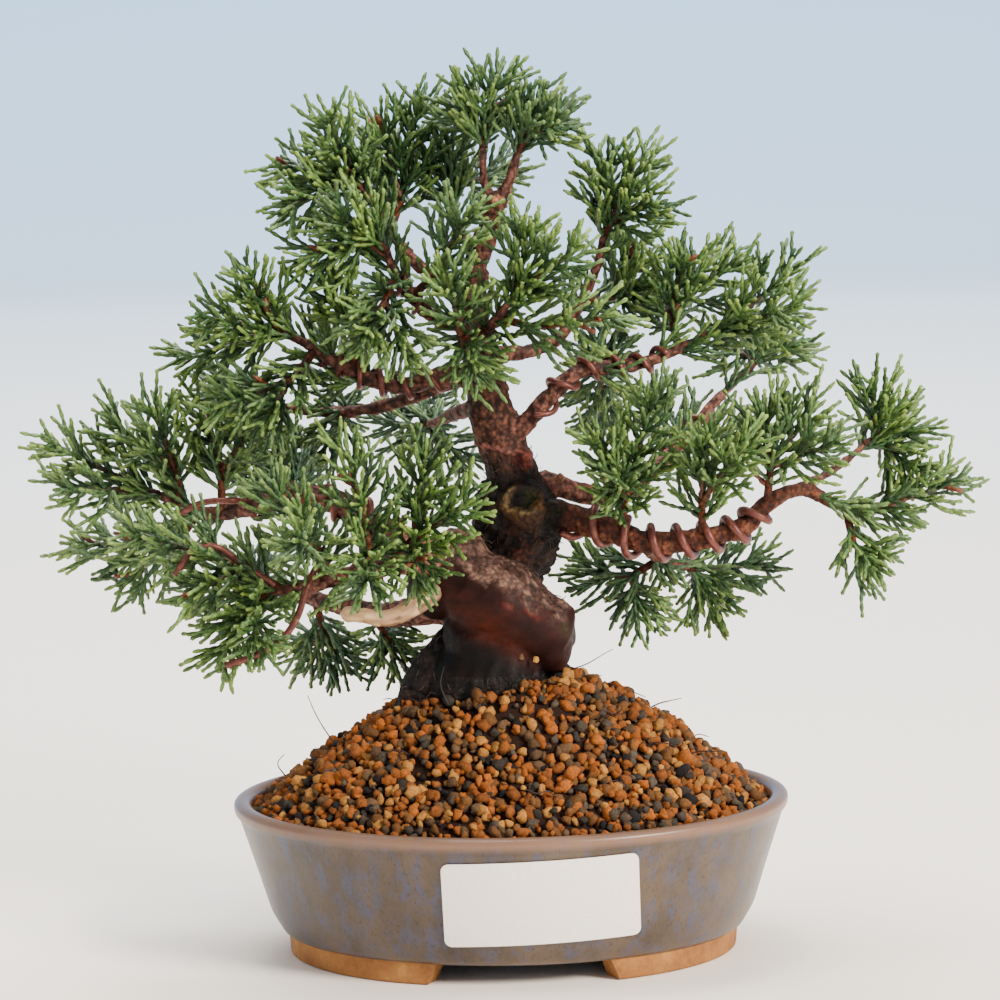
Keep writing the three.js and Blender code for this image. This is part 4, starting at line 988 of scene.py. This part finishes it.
# Training wires: each has its limb, the shares of it where it starts and stops, its turns and its radius.
# The last number is where round the limb it starts, in 24ths of a turn, as its CAD solid does.
WIRES = [
    ("left_low", 0.2, 0.72, 5, 0.9, 8),
    ("left_mid", 0.22, 0.8, 5, 0.8, 0),
    ("left_high", 0.2, 0.8, 3, 0.7, 15),
    ("right_mid", 0.2, 0.78, 5, 0.8, 0),
    ("right_back", 0.25, 0.8, 4, 0.7, 0),
    ("right_low", 0.1, 0.66, 7.25, 1.1, 21),
    ("left_front", 0.3, 0.6, 2, 0.9, 8),
]
WIRE_TAILS = {
    "left_low": [[-72, -14, 125], [-80, -13, 124.5], [-88, -11, 120.5]],
    "left_front": [
        [-48, -46, 112], [-51, -50, 107], [-54, -53, 99], [-59, -55, 93], [-66, -56, 90], [-72, -56, 88],
    ],
}
WIRE_HOOK = [[-60, -40, 106], [-68, -42, 112], [-75, -44, 117], [-80, -45, 116.5], [-85, -47, 110]]
WIRE_TONE = "8a4d3f"
WIRE_SIDES = 10
WIRE_STEPS_PER_TURN = 20
WIRE_GAP = 0.15
# The turns lie closer together toward the limb's tip
WIRE_CLOSING = 1.2


def make_wire(limb_name, start, stop, turns, radius, phase):
    limb = LIMBS[limb_name]
    count = int(turns * WIRE_STEPS_PER_TURN)
    shares = np.linspace(start, stop, count + 1)
    begin = max(8, round(start * count / (stop - start)))
    walk = np.concatenate([np.linspace(0, start, begin, endpoint=False), shares])
    normals, binormals = frames(np.array([limb["path"].tangent(share) for share in walk]))
    angles = phase / 24 * 2 * math.pi + 2 * math.pi * turns * np.linspace(0, 1, count + 1) ** WIRE_CLOSING
    stand_off = radius_at(limb, shares) + radius + WIRE_GAP
    line = limb["path"].at(shares)
    line = line + normals[begin:] * (stand_off * np.cos(angles))[:, None]
    line = line + binormals[begin:] * (stand_off * np.sin(angles))[:, None]
    if limb_name in WIRE_TAILS:
        line = Path([*line[:-3:6], *WIRE_TAILS[limb_name]]).spaced(150)
    lines = [line]
    if limb_name == "left_front":
        lines.append(Path(WIRE_HOOK).spaced(40))
    coil = Gather()
    for line in lines:
        coil.tube(line, np.full(len(line), radius), WIRE_SIDES, WIRE_TONE, tipped=False)
    piece = coil.object(f"coil_{limb_name}", WIRE)
    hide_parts(f"wire_{limb_name}")


for wire in WIRES:
    make_wire(*wire)


# Soil: a dark mound under a close layer of granules, its dark brown being painted shade in the gaps between
# them
SOIL_EDGE_HEIGHT = 39.5
SOIL_PEAK_HEIGHT = 77
SOIL_ROUNDING = 1.35
SOIL_PEAK_SHIFT = 3
SOIL_EDGE_RADIUS = 61
# The soil is heaped a little higher in front of the trunk
SOIL_HEAP = 6
# The mound's sides under the rim, from the top down, as radii and heights
SOIL_FOOT = [(61, 36.8), (53, 16.4), (47.8, 11.3)]
MOUND_SIDES = 64
MOUND_DROP = 0.9
STONE_KINDS = 18
STONE_PITCH = 2.0
STONE_SIZE = 1.22
STONE_SPREAD = 0.34
STONE_SMALLEST = 0.75
STONE_LARGEST = 2.3
LOOSE_STONES = 900
# Two stones lie against the log
STRAY_STONES = [[3.4, -12.2, 81.4], [7.2, -12.0, 80.6]]
STRAY_SIZE = 0.85
# Each tone of stone with its share of all stones
STONE_TONES = {
    "a5672e": 0.22, "905c2d": 0.18, "b5864a": 0.13, "7e5a35": 0.14,
    "6d563f": 0.12, "5f5449": 0.1, "4a433c": 0.07, "2d2728": 0.04,
}
ROOT_HAIRS = 46
LONG_HAIRS = [
    [[-47, -4, 57], [-50, -5, 62], [-52, -6, 66], [-54, -6, 71]],
    [[-61, 4, 47], [-63, 2, 51], [-61, 0, 54]],
    [[16, -3, 76], [21, -5, 78], [26, -6, 81], [28, -6, 82]],
    [[-16, -20, 70], [-18, -21, 76], [-17, -22, 81]],
]


def soil_place(radius, turn):
    share = radius / SOIL_EDGE_RADIUS
    offset = OVAL_OFFSET * min(1, radius / OVAL_BLEND)
    x = (radius + offset) * math.cos(turn) + SOIL_PEAK_SHIFT * (1 - share)
    y = (radius - offset) * math.sin(turn)
    heap = SOIL_HEAP * math.exp(-((x / 17) ** 2 + ((y + 17) / 8) ** 2))
    return np.array([x, y, mix(SOIL_PEAK_HEIGHT, SOIL_EDGE_HEIGHT, share ** SOIL_ROUNDING) + heap])


def stone_shapes(draw):
    """Unit stones: a subdivided icosahedron, cut and dented differently in each."""
    bpy.ops.mesh.primitive_ico_sphere_add(subdivisions=2, radius=1)
    piece = bpy.context.object
    points = np.array([vertex.co[:] for vertex in piece.data.vertices])
    faces = [list(face.vertices) for face in piece.data.polygons]
    bpy.data.objects.remove(piece)
    shapes = []
    for shape in range(STONE_KINDS):
        dents = np.array([noise.noise(Vector(p) * 1.8 + Vector((shape * 7.3, 0, 0))) for p in points])
        cuts = unit_rows(draw.normal(size=(7, 3)))
        cut_depths = draw.uniform(0.62, 0.95, 7)
        reach = np.min(cut_depths / np.maximum(points @ cuts.T, 0.3), axis=1)
        stretch = draw.uniform(0.75, 1.2, 3)
        shapes.append(points * (np.minimum(reach, 1.15) * (1 + 0.35 * dents))[:, None] * stretch)
    return shapes, faces


def stone_places(draw):
    """Rings of stones over the mound and loose ones on top, with none inside the trunk."""
    places = []
    for ring in range(1, int((SOIL_EDGE_RADIUS + 2) / STONE_PITCH) + 1):
        radius = ring * STONE_PITCH
        count = int(2 * math.pi * radius / (STONE_PITCH * 1.05))
        for i in range(count):
            turn = 2 * math.pi * (i + 0.5 * (ring % 2)) / count + draw.normal(0, 0.3) * STONE_PITCH / radius
            places.append(soil_place(min(radius + draw.normal(0, 0.6), SOIL_EDGE_RADIUS + 0.4), turn))
    for _ in range(LOOSE_STONES):
        radius = (SOIL_EDGE_RADIUS - 1) * math.sqrt(draw.random())
        places.append(soil_place(radius, 2 * math.pi * draw.random()) + [0, 0, 1.5])
    places = np.array(places)
    shares = np.linspace(0, 1, 16)
    best = np.full(len(places), 1e9)
    for wood in (TRUNK_BASE, LOG, *ROOTS):
        line = wood["path"].at(shares)
        gaps = np.linalg.norm(places[:, None] - line[None], axis=2) - radius_at(wood, shares)
        best = np.minimum(best, gaps.min(axis=1))
    return np.vstack([places[best > -0.3], STRAY_STONES])


def make_granules(draw):
    shapes, faces = stone_shapes(draw)
    tones = [colour(text) for text in STONE_TONES]
    places = stone_places(draw)
    sizes = np.clip(draw.normal(STONE_SIZE, STONE_SPREAD, len(places)), STONE_SMALLEST, STONE_LARGEST)
    sizes[-len(STRAY_STONES):] = STRAY_SIZE
    kinds = draw.choice(len(tones), len(places), p=list(STONE_TONES.values()))
    halves = {"soil_front": places[:, 1] < 0, "soil_back": places[:, 1] >= 0}
    for name, wanted in halves.items():
        gather = Gather()
        for place, size, kind in zip(places[wanted], sizes[wanted], kinds[wanted]):
            axis = unit(draw.normal(size=3))
            spin = np.array(Matrix.Rotation(draw.uniform(0, 2 * math.pi), 3, Vector(axis)))
            shape = shapes[draw.integers(len(shapes))]
            gather.add(shape @ spin.T * size + place, faces, tones[kind] * draw.uniform(0.78, 1.2))
        piece = gather.object(name, GRANULES)
        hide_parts("soil")


def make_mound():
    rings = [np.tile(soil_place(0.01, 0), (MOUND_SIDES, 1))]
    for radius in np.linspace(3, SOIL_EDGE_RADIUS, 24):
        rings.append(np.array([soil_place(radius, turn) for turn in circle(MOUND_SIDES)]))
    rings = [ring - [0, 0, MOUND_DROP] for ring in rings]
    rings += [oval_ring(radius, height, MOUND_SIDES) for radius, height in SOIL_FOOT]
    mound = Gather()
    faces = ring_faces(len(rings), MOUND_SIDES, flip=True, caps=(False, True))
    # Painted shade: the mound is dark brown, and shows in the gaps between granules.
    mound.add(np.vstack(rings), faces, "3a2418")
    piece = mound.object("soil_mound", GRANULES)
    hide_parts("soil")


def make_root_hairs(draw):
    hairs = Gather()
    for _ in range(ROOT_HAIRS):
        radius, turn = mix(14, 54, draw.random()), draw.uniform(0, 2 * math.pi)
        start = soil_place(radius, turn) + [0, 0, 1.6]
        heading = unit(np.array([draw.normal(), draw.normal(), 0.15]))
        line = []
        for t in (0, 0.35, 0.7, 1):
            line.append(start + heading * t * 9 + draw.normal(0, 0.5, 3) + [0, 0, -abs(t - 0.5) * 1.5])
        hairs.tube(Path(line).spaced(12), np.linspace(0.26, 0.12, 12), 5, "3c1d18")
    for points in LONG_HAIRS:
        hairs.tube(Path(points).spaced(16), np.linspace(0.22, 0.12, 16), 5, "2b201d")
    piece = hairs.object("root_hairs", JIN)


def make_soil():
    draw = np.random.default_rng(11)
    make_granules(draw)
    make_mound()
    make_root_hairs(draw)


make_soil()

# Foliage: leaders, the shoots that the CAD sprays have, more shoots between them, and their forks
LEADER_BEND = 0.12
BAND_LENGTH = 6.8
SHOOTS_PER_BAND = 2
SHOOT_LONG = 15.2
SHOOT_SHORT = 6.08
SHOOT_ELBOW = 0.6
OPENING_BASE = math.radians(58)
OPENING_TIP = math.radians(36)
SHOOTS_DRAWN = 2.2
TWIG_SHOOTS = 7
LIMB_SHOOTS = 5
# No shoot grows straight from a limb as thick as this
BARE_LIMB_RADIUS = 2.3
WITHERED_SHARE = 0.02
CORD_RADIUS = 0.64
CORD_SIDES = 4
CORD_SWELLING = 0.09
RING_PITCH = 1.4
FORK_ANGLES = (24, 38)
FORK_LENGTHS = (5.0, 9.0)

DEEP = colour("1f4b1c")
MIDDLE = colour("3e7533")
LIGHT = colour("6d9a48")
TIP = colour("a3b756")
GLAUCOUS = colour("86a285")
BLUISH = colour("22583a")
WITHERED = colour("8f4c22")
WOODY = colour("7d4622")


def cord(gather, line, start_radius, end_radius, low, high):
    """A scaly shoot: its radius swells and shrinks by turns, and its colour runs from low to high."""
    line = np.asarray(line)
    length = np.linalg.norm(np.diff(line, axis=0), axis=1).sum()
    count = max(4, round(length / RING_PITCH) + 1)
    steps = np.linspace(0, len(line) - 1, count)
    line = np.array([np.interp(steps, np.arange(len(line)), line[:, axis]) for axis in range(3)]).T
    shares = np.linspace(0, 1, count)
    radii = mix(start_radius, end_radius, shares) * (1 + CORD_SWELLING * (-1) ** np.arange(count))
    gather.tube(line, radii, CORD_SIDES, low + (high - low) * (shares ** 1.5)[:, None], stagger=True)


def leader_curve(parting, out, tip):
    reach = np.linalg.norm(tip - parting)
    aim = unit(mix(unit(tip - parting), out, LEADER_BEND))
    return bend(parting, parting + aim * 0.45 * reach, tip, 24)


def shoot(gather, path, along, turn, length, draw, low, high):
    root, forward = path.at(along), path.tangent(along)
    side = unit(np.cross(forward, UP if abs(forward[2]) < 0.9 else EAST))
    side = turned(side, forward, turn)
    opening = mix(OPENING_BASE, OPENING_TIP, along)
    out = forward * math.cos(opening) + side * math.sin(opening)
    elbow = root + out * SHOOT_ELBOW * length
    onward = unit(out + 0.45 * forward + 0.15 * UP)
    end = elbow + onward * (1 - SHOOT_ELBOW) * length
    line = Path([root, mix(root, elbow, 0.5), elbow, end]).spaced(14)
    tone = draw.random() ** 1.3
    first, last = mix(low, high, 0.3 * tone), mix(low, high, 0.25 + 0.75 * tone)
    if draw.random() < WITHERED_SHARE:
        cord(gather, line[:9], CORD_RADIUS * 1.3, CORD_RADIUS, WOODY, WITHERED)
        return
    cord(gather, line, CORD_RADIUS * 1.05, CORD_RADIUS * 0.9, first, mix(last, TIP, 0.6 * tone))
    fork_side = unit(np.cross(out, side) + 0.5 * draw.normal(size=3))
    forks = 3 if length < 10 else 4
    for number in range(forks):
        spot = mix(0.2, 0.8, (number + draw.uniform(-0.25, 0.25)) / (forks - 1))
        place = min(12, max(1, round(spot * 13)))
        heading = unit(line[place + 1] - line[place - 1])
        way = fork_side if number % 2 else -fork_side
        way = unit(way - np.dot(way, heading) * heading)
        angle = math.radians(draw.uniform(*FORK_ANGLES))
        away = heading * math.cos(angle) + way * math.sin(angle)
        reach = draw.uniform(*FORK_LENGTHS) * mix(1.1, 0.75, spot)
        base = line[place]
        tip = base + away * reach + (heading * 0.14 + UP * 0.04) * reach
        fork = bend(base, base + away * reach * 0.55, tip, 6)
        tones = mix(first, last, spot), mix(last, TIP, 0.2 + 0.6 * tone)
        cord(gather, fork, CORD_RADIUS * 0.9, CORD_RADIUS * 0.85, *tones)


def spray_tones(spray_number, tips):
    """A spray's dark and light green, with painted shade toward the back of the tree that turns the dark
    green bluer and the light green darker, and with a bloom on some sprays.
    """
    # Painted shade: sprays toward the back of the tree get a bluer dark green and a darker light green.
    depth = np.clip((np.mean(tips, axis=0)[1] + 20) / 70, 0, 1)
    low, high = mix(DEEP, BLUISH, 0.6 * depth), mix(LIGHT, MIDDLE, depth)
    bloom = 0.3 * chance(7 * spray_number + 3)
    return mix(low, GLAUCOUS, 0.6 * bloom), mix(high, GLAUCOUS, bloom)


def make_spray(spray_number, name, limb_name, along, *tips):
    draw = np.random.default_rng(100 + spray_number)
    root, out, parting = place_spray(limb_name, along, tips)
    low, high = spray_tones(spray_number, tips)
    limb = LIMBS[limb_name]
    twig = Path([root, mix(root, parting, 0.5), parting])
    gather = Gather()
    for number in range(TWIG_SHOOTS):
        turn = number * GOLDEN_ANGLE + 2 * math.pi * chance(spray_number)
        share = mix(0.45, 0.95, number / TWIG_SHOOTS)
        shoot(gather, twig, share, turn, draw.uniform(9, 14), draw, low, high)
    for _ in range(LIMB_SHOOTS):
        share = np.clip(along + draw.uniform(-0.12, 0.04), 0.3, 0.98)
        turn = draw.uniform(0, 2 * math.pi)
        if radius_at(limb, share) < BARE_LIMB_RADIUS:
            shoot(gather, limb["path"], share, turn, draw.uniform(8, 12), draw, low, high)
    for tip_number, tip in enumerate(np.array(tips, float)):
        line = leader_curve(parting, out, tip)
        path = Path(line[::3])
        seed = 10 * spray_number + tip_number + 1
        cord(gather, line[:13], 1.05, 0.8, WOODY, mix(WOODY, low, 0.6))
        cord(gather, line[12:], 0.8, 0.65, mix(WOODY, low, 0.8), mix(high, TIP, 0.4))
        count = SHOOTS_PER_BAND * max(3, round(path.length / BAND_LENGTH))
        for number in range(int(count * SHOOTS_DRAWN)):
            index = number / SHOOTS_DRAWN
            spot = mix(0.06, 0.93, (index + 0.5) / count)
            turn = index * GOLDEN_ANGLE + 2 * math.pi * chance(seed)
            length = mix(SHOOT_LONG, SHOOT_SHORT, spot) * (0.8 + 0.4 * chance(seed + index))
            shoot(gather, path, spot, turn, length, draw, low, high)
    piece = gather.object(f"foliage_{name}", FOLIAGE)
    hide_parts(f"spray_{name}")


for number, spray in enumerate(SPRAYS):
    make_spray(number, *spray)


# Stage: a wide pale floor whose rim curves up into a low wall all round. Its lengths are metres.
STAGE_RADIUS = 2.6
STAGE_CURVE = 0.8
STAGE_TOP = 1.1
STAGE_SIDES = 128


def floor_material():
    """Warm white under the pot, and bluer toward the rim."""
    look = Look("pale_floor", Roughness=0.85)
    reach = look.tree.nodes.new("ShaderNodeVectorMath")
    reach.operation = "LENGTH"
    look.feed(reach.inputs[0], look.place())
    far = look.node("ShaderNodeMapRange", Value=reach.outputs["Value"], From_Min=0.4, From_Max=3.4)
    tones = (0.0, "fbf2e8"), (0.2, "f7f6f2"), (0.6, "e4eff8"), (1.0, "a8d0f2")
    look.feed(look.shader.inputs["Base Color"], look.ramp(far.outputs["Result"], *tones))
    return look.material


def make_stage():
    profile = [(0.1, 0.0), (0.6, 0.0), (1.5, 0.0)]
    for t in np.linspace(0, math.pi / 2, 12):
        profile.append((STAGE_RADIUS + STAGE_CURVE * math.sin(t), STAGE_CURVE * (1 - math.cos(t))))
    profile.append((STAGE_RADIUS + STAGE_CURVE, STAGE_TOP))
    around = circle(STAGE_SIDES)
    points = [(radius * math.cos(t), radius * math.sin(t), z) for radius, z in profile for t in around]
    faces = ring_faces(len(profile), STAGE_SIDES, flip=True, caps=(True, False))
    mesh = bpy.data.meshes.new("floor")
    mesh.from_pydata(points, [], faces)
    mesh.polygons.foreach_set("use_smooth", [True] * len(faces))
    mesh.materials.append(floor_material())
    floor = linked("floor", mesh)


make_stage()


def area_light(name, place, target, size, power, tint):
    data = bpy.data.lights.new(name, "AREA")
    data.shape = "DISK"
    data.size = size
    data.energy = power
    data.color = tint
    light = linked(name, data)
    light.location = place
    light.rotation_euler = (Vector(target) - Vector(place)).to_track_quat("-Z", "Y").to_euler()


area_light("key", (0.85, -0.75, 0.7), (0, 0, 0.1), 0.45, 36, (1.0, 0.91, 0.8))
area_light("fill", (-0.9, -0.7, 0.6), (0, 0, 0.12), 0.8, 2.5, (1.0, 0.95, 0.9))
area_light("top", (-0.2, 0.15, 1.1), (0, 0, 0.12), 0.6, 16, (1.0, 0.96, 0.9))
area_light("backdrop", (0.0, 1.2, 2.2), (0, 3.0, 0.1), 1.6, 110, (0.92, 0.96, 1.0))

world = bpy.data.worlds.new("world")
bpy.context.scene.world = world
world.use_nodes = True
world.node_tree.nodes["Background"].inputs["Color"].default_value = (1.0, 0.97, 0.93, 1)
world.node_tree.nodes["Background"].inputs["Strength"].default_value = 0.65
